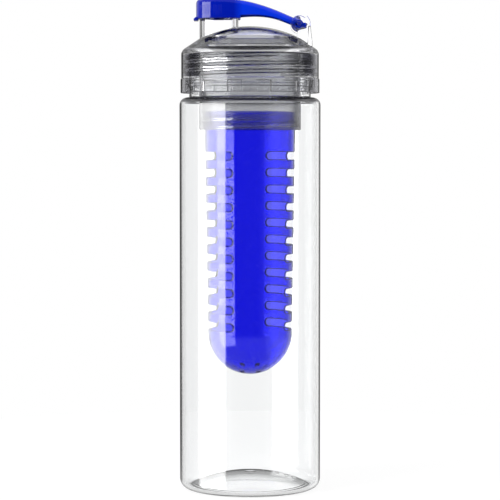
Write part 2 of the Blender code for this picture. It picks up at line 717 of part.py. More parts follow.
def make_cap(blue, axis):
    """The flip cap: a pod over the spout and an arm, hollow beneath, back to the barrel."""
    cap = prism_y("flip_cap", cap_side(0.0, 0.0), -POD_RADIUS * 2.0, POD_RADIUS * 2.0, blue, axis)
    plan = cap_plan(0.0, POD_RADIUS, POD_X, HINGE_X + BARREL_RADIUS)
    low, high = HINGE_HEIGHT - POD_DEPTH, CAP_TOP + CUT_OVERRUN
    combine(cap, prism_z("cap_plan_tool", plan, low, high), "INTERSECT")
    hollow = prism_y(
        "arm_hollow_tool", cap_side(CAP_SKIN, CUT_OVERRUN), -POD_RADIUS * 2.0, POD_RADIUS * 2.0
    )
    hollow_end = HINGE_X - ARM_HOLLOW_END
    hollow_plan = cap_plan(ARM_WALL, POD_BORE, -SPOUT_OFFSET, hollow_end)
    combine(hollow, prism_z("arm_hollow_plan_tool", hollow_plan, low, high), "INTERSECT")
    combine(cap, hollow, "DIFFERENCE")
    pod_hollow = spout_outline(POD_BORE, POD_BOTTOM - CUT_OVERRUN, CAP_CEILING)
    pod_tool = turned("pod_bore_tool", pod_hollow, steps=SPOUT_STEPS, centre_x=-SPOUT_OFFSET)
    combine(cap, pod_tool, "DIFFERENCE")
    barrel = rod_y("barrel_tool", HINGE_X, HINGE_HEIGHT, BARREL_RADIUS, BARREL_WIDTH / 2.0)
    combine(cap, barrel, "UNION")
    tail = [
        (HINGE_X, HINGE_HEIGHT - TAIL_BOTTOM),
        (HINGE_X + TAIL_REACH, HINGE_HEIGHT - TAIL_BOTTOM),
        (HINGE_X + TAIL_REACH, HINGE_HEIGHT + TAIL_TOP),
        (HINGE_X, HINGE_HEIGHT + TAIL_TOP),
    ]
    tail_half = BARREL_WIDTH / 2.0 - FIT_GAP
    combine(cap, prism_y("tail_tool", tail, -tail_half, tail_half), "UNION")
    lip_x = POD_X - POD_RADIUS
    lip = [
        (lip_x - THUMB_REACH, POD_BOTTOM - THUMB_THICKNESS),
        (lip_x + POD_WALL, POD_BOTTOM - THUMB_THICKNESS),
        (lip_x + POD_WALL, POD_BOTTOM + THUMB_THICKNESS),
        (lip_x - THUMB_REACH, POD_BOTTOM),
    ]
    combine(cap, prism_y("thumb_lip_tool", lip, -THUMB_WIDTH / 2.0, THUMB_WIDTH / 2.0), "UNION")
    hole_reach = BARREL_WIDTH / 2.0 + CUT_OVERRUN
    combine(cap, rod_y("barrel_hole_tool", HINGE_X, HINGE_HEIGHT, PIN_HOLE, hole_reach), "DIFFERENCE")
    return cap


def make_seal(silicone, axis):
    """The soft disc and plug under the cap that close the spout."""
    disc_radius = POD_BORE - SEAL_DISC_MARGIN
    disc_top = SEAL_BOTTOM + SEAL_DISC_THICKNESS
    plug_radius = SPOUT_BORE - PLUG_PLAY
    section = [
        (0.0, disc_top),
        (disc_radius, disc_top),
        (disc_radius, SEAL_BOTTOM),
        (plug_radius, SEAL_BOTTOM),
        (plug_radius - PLUG_TAPER, SEAL_BOTTOM - PLUG_DEPTH),
        (0.0, SEAL_BOTTOM - PLUG_DEPTH),
    ]
    return turned("spout_seal", section, silicone, axis, SPOUT_STEPS, -SPOUT_OFFSET)


def make_pin(blue, axis):
    """The pin through the ears and the barrel."""
    return rod_y("hinge_pin", HINGE_X, HINGE_HEIGHT, PIN_RADIUS, EAR_OUTER_Y, blue, axis)


def build():
    """Make every piece."""
    clear_scene()
    clear = plastic("clear_body", (0.93, 0.95, 0.96), 0.05, 1.0)
    lid_clear = plastic("clear_lid", (0.88, 0.89, 0.92), 0.08, 1.0)
    translucent = plastic("translucent_collar", (0.62, 0.62, 0.68), 0.3, 0.6)
    blue = plastic("blue_cap", (0.005, 0.02, 0.55), 0.25)
    blue_clear = plastic("blue_infuser", (0.02, 0.02, 0.75), 0.15, 0.6)
    silicone = plastic("silicone", (0.8, 0.8, 0.8), 0.6)
    lid_axis = axis_empty("lid_axis", (0.0, 0.0, SEAT_HEIGHT))
    cap_axis = axis_empty("cap_hinge_axis", (HINGE_X, 0.0, HINGE_HEIGHT), lid_axis)
    infuser_axis = axis_empty("infuser_axis", (0.0, 0.0, COLLAR_BOTTOM), lid_axis)
    make_bottle(clear)
    make_lid(lid_clear, lid_axis)
    make_collar(translucent, lid_axis)
    make_gasket(silicone, lid_axis)
    make_pin(blue, lid_axis)
    make_cap(blue, cap_axis)
    make_seal(silicone, cap_axis)
    make_infuser(blue_clear, infuser_axis)


build()
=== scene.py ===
import math

import bmesh
import bpy
import numpy as np
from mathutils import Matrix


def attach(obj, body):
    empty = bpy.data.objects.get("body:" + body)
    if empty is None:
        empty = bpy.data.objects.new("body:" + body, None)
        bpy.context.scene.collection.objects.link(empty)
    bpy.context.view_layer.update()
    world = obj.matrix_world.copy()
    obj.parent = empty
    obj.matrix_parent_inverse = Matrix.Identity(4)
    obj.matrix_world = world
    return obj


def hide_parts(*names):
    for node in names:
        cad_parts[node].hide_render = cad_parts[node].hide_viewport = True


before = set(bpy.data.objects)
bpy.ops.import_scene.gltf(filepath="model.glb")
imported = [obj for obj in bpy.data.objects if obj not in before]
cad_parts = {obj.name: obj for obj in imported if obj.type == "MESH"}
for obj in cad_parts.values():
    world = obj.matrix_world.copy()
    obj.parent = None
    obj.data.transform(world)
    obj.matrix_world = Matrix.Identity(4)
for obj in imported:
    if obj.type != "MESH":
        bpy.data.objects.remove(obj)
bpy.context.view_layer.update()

# ---- The table and the studio
# The bottle stands on a pale table in front of a white sheet. Its surfaces throw back a studio: a
# tall soft box at its left, grey flats and dark gaps round it, a lit ceiling and a pale ground.
scene = bpy.context.scene
scene.view_settings.view_transform = "Standard"
scene.cycles.max_bounces = 32
scene.cycles.transmission_bounces = 32
scene.cycles.glossy_bounces = 8
scene.cycles.transparent_max_bounces = 16

CAMERA_PLACE, CAMERA_DOWN, CAMERA_LENS = (0.0, -1.028, 0.171), math.radians(2.9), 148.7
camera = bpy.data.objects.new("camera", bpy.data.cameras.new("camera"))
camera.data.lens = CAMERA_LENS
camera.data.sensor_width = 36.0
camera.data.clip_start = 0.01
camera.location = CAMERA_PLACE
camera.rotation_euler = (math.pi / 2.0 - CAMERA_DOWN, 0.0, 0.0)
scene.collection.objects.link(camera)
scene.camera = camera


def add_node(tree, kind, inputs=None, **settings):
    """A shader node of one kind, with its settings, and its inputs set to values or linked."""
    node = tree.nodes.new(kind)
    for name, value in settings.items():
        setattr(node, name, value)
    for name, value in (inputs or {}).items():
        if isinstance(value, bpy.types.NodeSocket):
            tree.links.new(value, node.inputs[name])
        else:
            node.inputs[name].default_value = value
    return node


def maths(tree, operation, first, second=0.0, third=0.0):
    """One sum or comparison of two or three numbers in a shader."""
    return add_node(tree, "ShaderNodeMath", {0: first, 1: second, 2: third}, operation=operation).outputs[0]


def between(tree, share, first, second):
    """A number that goes straight from the first to the second as a share goes from 0 to 1."""
    return add_node(tree, "ShaderNodeMix", {0: share, 2: first, 3: second}).outputs[0]


def ramp(tree, value, stops):
    """A number that follows straight lines through (place, number) stops, both from 0 to 1."""
    node = add_node(tree, "ShaderNodeValToRGB", {"Fac": value})
    elements = node.color_ramp.elements
    while len(elements) < len(stops):
        elements.new(1.0)
    for element, (place, number) in zip(elements, stops):
        element.position = place
        element.color = (number, number, number, 1.0)
    return node.outputs["Color"]


def light_path(tree):
    """Three numbers for a ray: it shows the sheet, a surface has thrown it back, it is transmitted.

    Each is 1 where that is so, else 0. The sheet shows to camera, glossy and transmitted rays.
    """
    path = add_node(tree, "ShaderNodeLightPath").outputs
    shows = maths(tree, "MAXIMUM", path["Is Camera Ray"], path["Is Glossy Ray"])
    shows = maths(tree, "MAXIMUM", shows, path["Is Transmission Ray"])
    thrown = maths(tree, "MINIMUM", path["Glossy Depth"], 1.0)
    return shows, thrown, path["Is Transmission Ray"]


SHEET_THROUGH_PLASTIC, SHEET_TO_SURFACES = 1.085, 0.62
BOX_LEVEL, BACK_LEVEL, CEILING_LEVEL, GROUND_LEVEL = 6.8, 1.1, 0.5, 0.75
# Bearings of the room as a share of a full turn, from behind the bottle round by its left, the
# camera and its right, with the brightness of what stands there as a share of the soft box's.
ROOM = [
    (0.0, 0.012),
    (0.070, 0.012),
    (0.080, 0.12),
    (0.125, 0.12),
    (0.16, 0.045),
    (0.240, 0.045),
    (0.246, 1.0),
    (0.384, 1.0),
    (0.388, 0.003),
    (0.56, 0.003),
    (0.62, 0.09),
    (0.69, 0.09),
    (0.70, 0.04),
    (0.84, 0.04),
    (0.875, 0.13),
    (0.930, 0.15),
    (0.940, 0.02),
    (1.0, 0.02),
]
# How much of the room shows by height, from 0 straight down to 1 straight up, and how much of the
# back light, the ceiling, the ground and the sheet by how steeply a ray rises or falls.
ROOM_HEIGHT = [(0.0, 0.05), (0.22, 0.05), (0.26, 1.0), (0.60, 1.0), (0.66, 0.12)]
BACK_RISE = [(0.0, 0.0), (0.06, 0.0), (0.13, 0.35), (0.42, 0.35), (0.55, 1.0), (0.74, 1.0), (0.8, 0.15)]
BACK_BEARINGS = [(0.0, 1.0), (0.15, 1.0), (0.2, 0.0), (0.8, 0.0), (0.85, 1.0), (1.0, 1.0)]
CEILING_RISE = [(0.0, 0.0), (0.22, 0.0), (0.36, 1.0), (1.0, 1.0)]
GROUND_FALL = [(0.0, 0.0), (0.14, 0.0), (0.26, 1.0), (1.0, 1.0)]
SHEET_RISE = [(0.0, 1.0), (0.35, 1.0), (0.55, 0.35), (1.0, 0.25)]
world = bpy.data.worlds.new("studio")
scene.world = world
world.use_nodes = True
world.cycles.sampling_method = "NONE"
tree = world.node_tree
tree.nodes.clear()
shows, thrown, transmitted = light_path(tree)
ray = add_node(tree, "ShaderNodeTexCoord").outputs["Generated"]
ray = add_node(tree, "ShaderNodeSeparateXYZ", {0: ray}).outputs
bearing = maths(tree, "ARCTAN2", ray["X"], maths(tree, "MULTIPLY", ray["Y"], -1.0))
bearing = maths(tree, "MULTIPLY_ADD", bearing, 0.5 / math.pi, 0.5)
rising = maths(tree, "MAXIMUM", ray["Z"], 0.0)
falling = maths(tree, "MULTIPLY", ray["Z"], -1.0)
room_height = ramp(tree, maths(tree, "MULTIPLY_ADD", ray["Z"], 0.5, 0.5), ROOM_HEIGHT)
room = maths(tree, "MULTIPLY", maths(tree, "MULTIPLY", ramp(tree, bearing, ROOM), room_height), BOX_LEVEL)
back = maths(tree, "MULTIPLY", ramp(tree, rising, BACK_RISE), ramp(tree, bearing, BACK_BEARINGS))
room = between(tree, back, room, maths(tree, "MAXIMUM", room, BACK_LEVEL))
ceiling = ramp(tree, rising, CEILING_RISE)
room = between(tree, ceiling, room, maths(tree, "MAXIMUM", room, CEILING_LEVEL))
ground = ramp(tree, falling, GROUND_FALL)
room = between(tree, ground, room, maths(tree, "MAXIMUM", room, GROUND_LEVEL))
sheet = maths(tree, "MULTIPLY", ramp(tree, rising, SHEET_RISE), SHEET_THROUGH_PLASTIC)
seen = between(tree, thrown, between(tree, transmitted, 1.0, sheet), room)
level = between(tree, shows, SHEET_TO_SURFACES, seen)
sky = add_node(tree, "ShaderNodeBackground", {"Color": (1.0, 1.0, 1.0, 1.0), "Strength": level})
add_node(tree, "ShaderNodeOutputWorld", {"Surface": sky.outputs[0]})

TABLE_RADIUS, TABLE_SIDES, TABLE_HEIGHT = 0.3, 96, -0.00002
TABLE_SHOWN, TABLE_THROUGH_PLASTIC, TABLE_TO_SURFACES, TABLE_GREY = 0.9, 1.0, 0.35, 0.13
turn = np.linspace(0.0, 2.0 * math.pi, TABLE_SIDES + 1)[:-1]
rim = np.stack([np.cos(turn), np.sin(turn), np.zeros(TABLE_SIDES)], axis=1) * TABLE_RADIUS
rim[:, 2] = TABLE_HEIGHT
table_mesh = bpy.data.meshes.new("table")
table_mesh.from_pydata(rim.tolist(), [], [list(range(TABLE_SIDES))])
table = bpy.data.objects.new("table", table_mesh)
scene.collection.objects.link(table)
pale = bpy.data.materials.new("pale_table")
pale.use_nodes = True
tree = pale.node_tree
tree.nodes.clear()
shows, thrown, transmitted = light_path(tree)
seen = between(tree, transmitted, TABLE_SHOWN, TABLE_THROUGH_PLASTIC)
glow = add_node(tree, "ShaderNodeEmission", {"Strength": between(tree, shows, TABLE_TO_SURFACES, seen)})
top = add_node(tree, "ShaderNodeBsdfDiffuse", {"Color": (TABLE_GREY, TABLE_GREY, TABLE_GREY, 1.0)})
both = add_node(tree, "ShaderNodeAddShader", {0: glow.outputs[0], 1: top.outputs[0]})
past = add_node(tree, "ShaderNodeBsdfTransparent")
both = add_node(tree, "ShaderNodeMixShader", {0: thrown, 1: both.outputs[0], 2: past.outputs[0]})
add_node(tree, "ShaderNodeOutputMaterial", {"Surface": both.outputs[0]})
table_mesh.materials.append(pale)

# A large soft lamp at the left front and a weaker one at the right, both aimed at the bottle's
# middle. They light the plastic's own colour, and neither shows in it.
LAMP_AIM = np.array([0.0, 0.0, 0.12])
for name, place, size, power in (
    ("left_lamp", (-0.75, -0.55, 0.65), 0.6, 9.0),
    ("right_lamp", (0.8, -0.5, 0.45), 0.5, 4.0),
):
    lamp = bpy.data.objects.new(name, bpy.data.lights.new(name, "AREA"))
    lamp.data.size = size
    lamp.data.energy = power
    lamp.location = place
    aim = LAMP_AIM - np.array(place)
    aim /= np.linalg.norm(aim)
    lamp.rotation_euler = (math.acos(-aim[2]), 0.0, math.atan2(aim[0], -aim[1]) + math.pi)
    lamp.visible_glossy = False
    lamp.visible_transmission = False
    scene.collection.objects.link(lamp)


# ---- Bottle body
# A clear, stiff plastic bottle, blown in one piece from a preform: straight wall, rounded heel and
# shoulder, a base pushed in with the gate mark at its middle, and a neck moulded with its thread.
def rounded(corners, steps=6):
    """A path through (across, up, round) corners.

    Each corner with a round becomes an arc of that radius, tangent to the lines on both sides.
    """
    path = [np.array(corners[0][:2])]
    for before, here, after in zip(corners, corners[1:], corners[2:]):
        point, radius = np.array(here[:2], float), here[2]
        if radius == 0:
            path.append(point)
            continue
        u = np.array(before[:2]) - point
        v = np.array(after[:2]) - point
        u /= np.linalg.norm(u)
        v /= np.linalg.norm(v)
        half = math.acos(np.clip(u @ v, -1.0, 1.0)) / 2.0
        centre = point + (u + v) / np.linalg.norm(u + v) * radius / math.sin(half)
        a = point + u * radius / math.tan(half) - centre
        b = point + v * radius / math.tan(half) - centre
        sweep = math.pi - 2.0 * half
        for t in np.linspace(0.0, 1.0, steps + 1):
            swung = a * math.sin((1.0 - t) * sweep) + b * math.sin(t * sweep)
            path.append(centre + swung / math.sin(sweep))
    path.append(np.array(corners[-1][:2]))
    return np.array(path)


def arc(centre, radius, start, end, steps):
    """Points on a circle from one angle to another, in degrees."""
    a = np.radians(np.linspace(start, end, steps + 1))
    return np.stack([centre[0] + radius * np.cos(a), centre[1] + radius * np.sin(a)], axis=1)


def with_rows(path, radius, low, high, step):
    """The path with extra points, a step of height apart, on its upright stretch at one radius."""
    levels = np.arange(low, high, step)
    parts = []
    for p, q in zip(path, path[1:]):
        share = np.zeros(0)
        if max(abs(p[0] - radius), abs(q[0] - radius)) < 0.01 and abs(q[1] - p[1]) > step:
            share = (levels - p[1]) / (q[1] - p[1])
        share = np.sort(share[(share > 0.001) & (share < 0.999)])
        parts.append(p + (q - p) * np.append(0.0, share)[:, None])
    return np.concatenate(parts + [path[-1:]])


THREAD_START, THREAD_FADE = math.radians(-63.0), 0.125


def helix_ridge(height, angle, top, turns, pitch, base, tip):
    """How far a thread ridge stands, from 0 to 1, at heights and angles.

    The ridge's middle falls by one pitch a turn from its top. Across it the strength is 1 over the
    tip's width and falls as a smooth step to 0 at the base's width; it fades in and out at both ends.
    """
    lead = np.mod(angle - THREAD_START, 2.0 * math.pi) / (2.0 * math.pi) - 1.0
    best = np.zeros(np.broadcast(height, angle).shape)
    for k in range(int(math.ceil(turns)) + 1):
        along = k - lead
        off = np.abs(height - (top - pitch * along))
        t = np.clip((base / 2.0 - off) / (base / 2.0 - tip / 2.0), 0.0, 1.0)
        ends = np.clip(np.minimum(along, turns - along) / THREAD_FADE, 0.0, 1.0)
        strength = t * t * (3.0 - 2.0 * t) * np.sqrt(ends)
        best = np.maximum(best, strength)
    return best


def mesh_piece(name, points, quads, triangles, material, marks=None):
    """A smooth mesh object from points in millimetres and faces.

    Marks are a name and a number for each point, which a material can read.
    """
    corners = np.concatenate([quads.ravel(), triangles.ravel()])
    used, corners = np.unique(corners, return_inverse=True)
    totals = np.concatenate([np.full(len(quads), 4), np.full(len(triangles), 3)])
    mesh = bpy.data.meshes.new(name)
    mesh.vertices.add(len(used))
    mesh.vertices.foreach_set("co", (points.reshape(-1, 3)[used] * 0.001).ravel())
    mesh.loops.add(len(corners))
    mesh.loops.foreach_set("vertex_index", corners.ravel().astype(np.int32))
    mesh.polygons.add(len(totals))
    mesh.polygons.foreach_set("loop_start", (np.cumsum(totals) - totals).astype(np.int32))
    mesh.update(calc_edges=True)
    mesh.validate()
    if marks:
        mesh.attributes.new(marks[0], "FLOAT", "POINT").data.foreach_set("value", marks[1].ravel()[used])
    mesh.shade_smooth()
    mesh.materials.append(material)
    piece = bpy.data.objects.new(name, mesh)
    scene.collection.objects.link(piece)
    return piece


def band_quads(low, high):
    """Four-sided faces between rows of point numbers and the rows above them, closed once round."""
    return np.stack([low, np.roll(low, -1, axis=1), np.roll(high, -1, axis=1), high], axis=-1).reshape(-1, 4)


def ring_piece(name, grid, material, poles=True):
    """A closed skin over a grid of points: rows along a section, columns once round.

    With poles, the first and last rows are single points on the axis; without, the last row joins
    the first. Faces point outwards when the section runs up on the outside.
    """
    rows, columns = grid.shape[:2]
    index = np.arange(rows * columns).reshape(rows, columns)
    low, high = (index[1:-2], index[2:-1]) if poles else (index, np.roll(index, -1, axis=0))
    quads = band_quads(low, high)
    triangles = np.zeros((0, 3), int)
    if poles:
        first, last = index[1], index[-2]
        start = np.stack([np.full(columns, index[0, 0]), np.roll(first, -1), first], axis=-1)
        end = np.stack([last, np.roll(last, -1), np.full(columns, index[-1, 0])], axis=-1)
        triangles = np.concatenate([start, end])
    return mesh_piece(name, grid, quads, triangles, material)


def round_grid(path, columns, centre_x=0.0, push=None):
    """A section of (radius, height) points turned about an upright axis.

    x = centre + r cos a, y = r sin a, where push, if given, adds to r as a function of height and angle.
    """
    angle = np.linspace(0.0, 2.0 * math.pi, columns + 1)[None, :-1]
    radius = np.repeat(path[:, :1], columns, axis=1)
    height = np.repeat(path[:, 1:], columns, axis=1)
    if push is not None:
        radius = radius + push(radius, height, angle)
    return np.stack([centre_x + radius * np.cos(angle), radius * np.sin(angle), height], axis=-1)


def moulded(name, colour, roughness, grain, scale, bump, **shader_values):
    """A moulded plastic: Principled, with fine uneven gloss and a faint ripple in its surface.

    A cloud pattern of one scale moves the roughness up and down by the grain, and lifts the surface
    by up to the bump, in metres.
    """
    material = bpy.data.materials.new(name)
    material.use_nodes = True
    tree = material.node_tree
    shader = tree.nodes["Principled BSDF"]
    place = add_node(tree, "ShaderNodeTexCoord").outputs["Object"]
    cloud = add_node(tree, "ShaderNodeTexNoise", {"Vector": place, "Scale": scale, "Detail": 3.0}).outputs[0]
    levels = {0: cloud, 1: 0.3, 2: 0.7, 3: roughness - grain, 4: roughness + grain}
    gloss = add_node(tree, "ShaderNodeMapRange", levels)
    tree.links.new(gloss.outputs[0], shader.inputs["Roughness"])
    ripple = add_node(tree, "ShaderNodeBump", {"Strength": 1.0, "Distance": bump, "Height": cloud})
    tree.links.new(ripple.outputs[0], shader.inputs["Normal"])
    shader.inputs["Base Color"].default_value = (*colour, 1.0)
    for key, value in shader_values.items():
        shader.inputs[key.replace("_", " ")].default_value = value
    return material


BODY_RADIUS, BODY_WALL, HEEL, SHOULDER_TOP, SHOULDER_ROUND = 35.0, 1.6, 5.0, 194.7, 3.8
NECK_RADIUS, NECK_BORE, NECK_TOP = 30.1, 28.0, 216.0
NECK_RING, NECK_RING_LOW, NECK_RING_HIGH = 0.7, 200.0, 201.5
PUNT_EDGE, PUNT_RISE, BASE, FOOT_IN, FOOT_OUT = 28.0, 6.0, 2.4, 28.2, 29.2
GATE_DEPTH, GATE_RADIUS = 0.35, 1.3
punt_ball = (PUNT_EDGE**2 + PUNT_RISE**2) / (2.0 * PUNT_RISE)
punt_spread = math.degrees(math.asin(PUNT_EDGE / punt_ball))
punt_middle = (0.0, PUNT_RISE - punt_ball)
under = arc(punt_middle, punt_ball, 90.0, 90.0 - punt_spread, 30)[:-1]
under[:, 1] -= GATE_DEPTH * np.exp(-((under[:, 0] / GATE_RADIUS) ** 2))
foot = rounded([(FOOT_IN - 0.8, 0.45, 0), (FOOT_IN, 0.0, 0.8), (FOOT_OUT, 0.0, 0)])
heel = arc((BODY_RADIUS - HEEL, HEEL), HEEL, -90.0, 0.0, 12)
shoulder_middle = (BODY_RADIUS - SHOULDER_ROUND, SHOULDER_TOP - SHOULDER_ROUND)
wall = np.stack([np.full(24, BODY_RADIUS), np.linspace(HEEL, shoulder_middle[1], 26)[1:-1]], axis=1)
shoulder = arc(shoulder_middle, SHOULDER_ROUND, 0.0, 90.0, 12)
neck = rounded([
    (shoulder_middle[0] - 0.1, SHOULDER_TOP, 0),
    (NECK_RADIUS, SHOULDER_TOP, 0.5),
    (NECK_RADIUS, NECK_RING_LOW, 0.25),
    (NECK_RADIUS + NECK_RING, NECK_RING_LOW, 0.3),
    (NECK_RADIUS + NECK_RING, NECK_RING_HIGH, 0.3),
    (NECK_RADIUS, NECK_RING_HIGH, 0.25),
    (NECK_RADIUS, NECK_TOP, 0.6),
    (NECK_BORE, NECK_TOP, 0.6),
    (NECK_BORE, SHOULDER_TOP - BODY_WALL, 1.0),
    (shoulder_middle[0] - 0.2, SHOULDER_TOP - BODY_WALL, 0),
])
inner_shoulder = arc(shoulder_middle, SHOULDER_ROUND - BODY_WALL, 90.0, 0.0, 10)
inner_wall = wall[::-1] - [BODY_WALL, 0.0]
inner_heel = arc((BODY_RADIUS - HEEL, HEEL), HEEL - BODY_WALL, 0.0, -80.0, 10)
floor = arc(punt_middle, punt_ball + BASE, 90.0 - punt_spread, 90.0, 30)[1:]
outside = [under, foot, heel, wall, shoulder, neck]
body_path = np.concatenate(outside + [inner_shoulder, inner_wall, inner_heel, floor])
body_path[[0, -1], 0] = 0.0
body_path = with_rows(body_path, NECK_RADIUS, NECK_RING_HIGH + 0.2, NECK_TOP - 0.5, 0.13)
# A thread's form is its pitch and its ridge's widths at the base and at the tip.
COARSE_THREAD, COARSE_DEPTH, NECK_THREAD_TOP, NECK_THREAD_TURNS = (4.0, 2.0, 0.9), 1.8, 214.9, 2.25


def neck_thread(radius, height, angle):
    """The neck's thread: a ridge added to the radius on the neck's outside, above its ring."""
    outside = (radius > NECK_RADIUS - 0.7) & (radius < NECK_RADIUS + 0.1) & (height > NECK_RING_HIGH - 0.1)
    ridge = helix_ridge(height, angle, NECK_THREAD_TOP, NECK_THREAD_TURNS, *COARSE_THREAD)
    return outside * COARSE_DEPTH * ridge


SHADE_EASE = 0.0005


def paint_shade(material, amount, low, high, dark):
    """Paint shade into a clear plastic's colour by an amount from 0 to 1, between two heights in metres.

    This is painted shade: sloping and turned-away walls are darkened in their base colour, in place of the
    darkness they show.
    """
    tree = material.node_tree
    shader = tree.nodes["Principled BSDF"]
    place = add_node(tree, "ShaderNodeTexCoord").outputs["Object"]
    height = add_node(tree, "ShaderNodeSeparateXYZ", {0: place}).outputs["Z"]
    over = add_node(tree, "ShaderNodeMapRange", {0: height, 1: low, 2: low + SHADE_EASE}).outputs[0]
    below = add_node(tree, "ShaderNodeMapRange", {0: height, 1: high, 2: high - SHADE_EASE}).outputs[0]
    amount = maths(tree, "MULTIPLY", maths(tree, "MULTIPLY", over, below), amount)
    socket = shader.inputs["Base Color"]
    before = socket.links[0].from_socket if socket.is_linked else tuple(socket.default_value)
    mix = add_node(tree, "ShaderNodeMix", data_type="RGBA")
    tree.links.new(amount, mix.inputs[0])
    if isinstance(before, tuple):
        mix.inputs[6].default_value = before
    else:
        tree.links.new(before, mix.inputs[6])
    mix.inputs[7].default_value = (*dark, 1.0)
    tree.links.new(mix.outputs[2], socket)


def slope_shade_amount(material):
    """The upward share of a face's direction, taken from 0 at a fifth to 1 at three fifths: how much painted
    shade a sloping face gets.
    """
    tree = material.node_tree
    normal = add_node(tree, "ShaderNodeNewGeometry").outputs["Normal"]
    level = maths(tree, "ABSOLUTE", add_node(tree, "ShaderNodeSeparateXYZ", {0: normal}).outputs["Z"])
    return add_node(tree, "ShaderNodeMapRange", {0: level, 1: 0.2, 2: 0.6}).outputs[0]


# Heights in metres: where the shoulder begins, the neck's faces begin, its thread begins and ends.
SHOULDER_FOOT, NECK_FOOT, THREAD_FOOT, THREAD_HEAD = 0.1925, 0.1955, 0.2022, 0.2165
SHOULDER_SHADE, THREAD_SHADE = (0.1, 0.1, 0.12), (0.006, 0.006, 0.009)
CLEAR, DULLED = (0.985, 0.99, 0.992), (0.25, 0.25, 0.25, 1.0)
HARD_CLEAR = {"roughness": 0.02, "grain": 0.012, "Transmission_Weight": 1.0, "IOR": 1.5}
clear_body = moulded("clear_body", CLEAR, scale=60.0, bump=0.00001, **HARD_CLEAR)
clear_neck = moulded("clear_neck", CLEAR, scale=60.0, bump=0.00001, Specular_Tint=DULLED, **HARD_CLEAR)
# Painted shade: sloping faces of the shoulder and neck are darkened in their colour, the thread's flanks
# most.
for plastic in (clear_body, clear_neck):
    paint_shade(plastic, slope_shade_amount(plastic), SHOULDER_FOOT, THREAD_FOOT, SHOULDER_SHADE)
paint_shade(clear_neck, slope_shade_amount(clear_neck), THREAD_FOOT, THREAD_HEAD, THREAD_SHADE)
body = ring_piece("bottle_shell", round_grid(body_path, 256, push=neck_thread), clear_body)
body.data.materials.append(clear_neck)
middles = np.zeros(len(body.data.polygons) * 3)
body.data.polygons.foreach_get("center", middles)
body.data.polygons.foreach_set("material_index", (middles[2::3] > NECK_FOOT).astype(np.int32))
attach(body, "bottle")
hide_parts("bottle_body")


# ---- Screw lid
# One clear moulding: a domed top on a sloping flank, a skirt that screws over the neck, a grip band
# with hollow pockets at its foot, the drinking spout and the two ears that hold the cap's pin.
LID_BOTTOM, BAND_TOP, BAND_RADIUS, SKIRT_RADIUS, SKIRT_BORE = 196.9, 203.7, 34.45, 34.1, 32.4
LID_TOP, DOME_EDGE, DOME_RISE, DOME_WALL = 229.9, 24.2, 5.6, 1.6
SEAT, SEAT_IN, SEAT_OUT, SOCKET = 218.0, 27.2, 30.4, 25.5
COLLAR_SEAT, SPIGOT_BORE, SPIGOT_RADIUS, SPIGOT_LENGTH = 221.9, 22.4, 23.9, 4.5
FLANK, LID_CORNER = math.radians(33.4), 3.6
HINGE_X, HINGE_Z = 24.2, 230.8
SPOUT_X, SPOUT_RADIUS, SPOUT_BORE, SPOUT_TOP, TAPER_LENGTH, TAPER = -15.35, 9.6, 7.3, 240.5, 6.5, 1.0
dome_ball = (DOME_EDGE**2 + DOME_RISE**2) / (2.0 * DOME_RISE)
dome_middle = (0.0, LID_TOP - dome_ball)
inner_spread = math.degrees(math.asin(SPIGOT_BORE / (dome_ball - DOME_WALL)))
outer_spread = math.degrees(math.asin(DOME_EDGE / dome_ball))
flank_foot = LID_TOP - DOME_RISE - (SKIRT_RADIUS - DOME_EDGE) * math.tan(FLANK)
dome_inside = arc(dome_middle, dome_ball - DOME_WALL, 90.0, 90.0 - inner_spread, 24)
lid_wall = rounded([
    (SPIGOT_BORE, dome_inside[-1][1], 0),
    (SPIGOT_BORE, COLLAR_SEAT - SPIGOT_LENGTH, 0.3),
    (SPIGOT_RADIUS, COLLAR_SEAT - SPIGOT_LENGTH, 0.3),
    (SPIGOT_RADIUS, COLLAR_SEAT, 0.4),
    (SOCKET, COLLAR_SEAT, 0.4),
    (SEAT_IN, SEAT, 0.4),
    (SEAT_OUT, SEAT, 0.3),
    (SKIRT_BORE, SEAT - 2.0, 0.5),
    (SKIRT_BORE, LID_BOTTOM, 0.3),
    (BAND_RADIUS, LID_BOTTOM, 0.4),
    (BAND_RADIUS, BAND_TOP, 0.2),
    (SKIRT_RADIUS, BAND_TOP + 0.35, 0.2),
    (SKIRT_RADIUS, flank_foot, LID_CORNER),
    (DOME_EDGE, LID_TOP - DOME_RISE, 0.5),
    (DOME_EDGE - 3.0, LID_TOP - DOME_RISE + 1.42, 0),
], steps=8)
dome_outside = arc(dome_middle, dome_ball, 90.0 - outer_spread + 3.4, 90.0, 24)
lid_path = np.concatenate([dome_inside[:-1], lid_wall[:-1], dome_outside])
lid_path[[0, -1], 0] = 0.0
lid_path = with_rows(lid_path, SKIRT_BORE, LID_BOTTOM + 0.2, SEAT - 3.5, 0.16)
LID_THREAD_TOP, LID_THREAD_TURNS = 212.9, 2.0
POCKETS, POCKET_DEPTH, POCKET_TOP, POCKET_TOP_EASE = 15, 0.9, LID_BOTTOM + 5.75, 0.3
POCKET_TURN, POCKET_HALF, POCKET_SIDE_EASE = math.radians(17.65), math.radians(6.4), math.radians(0.8)


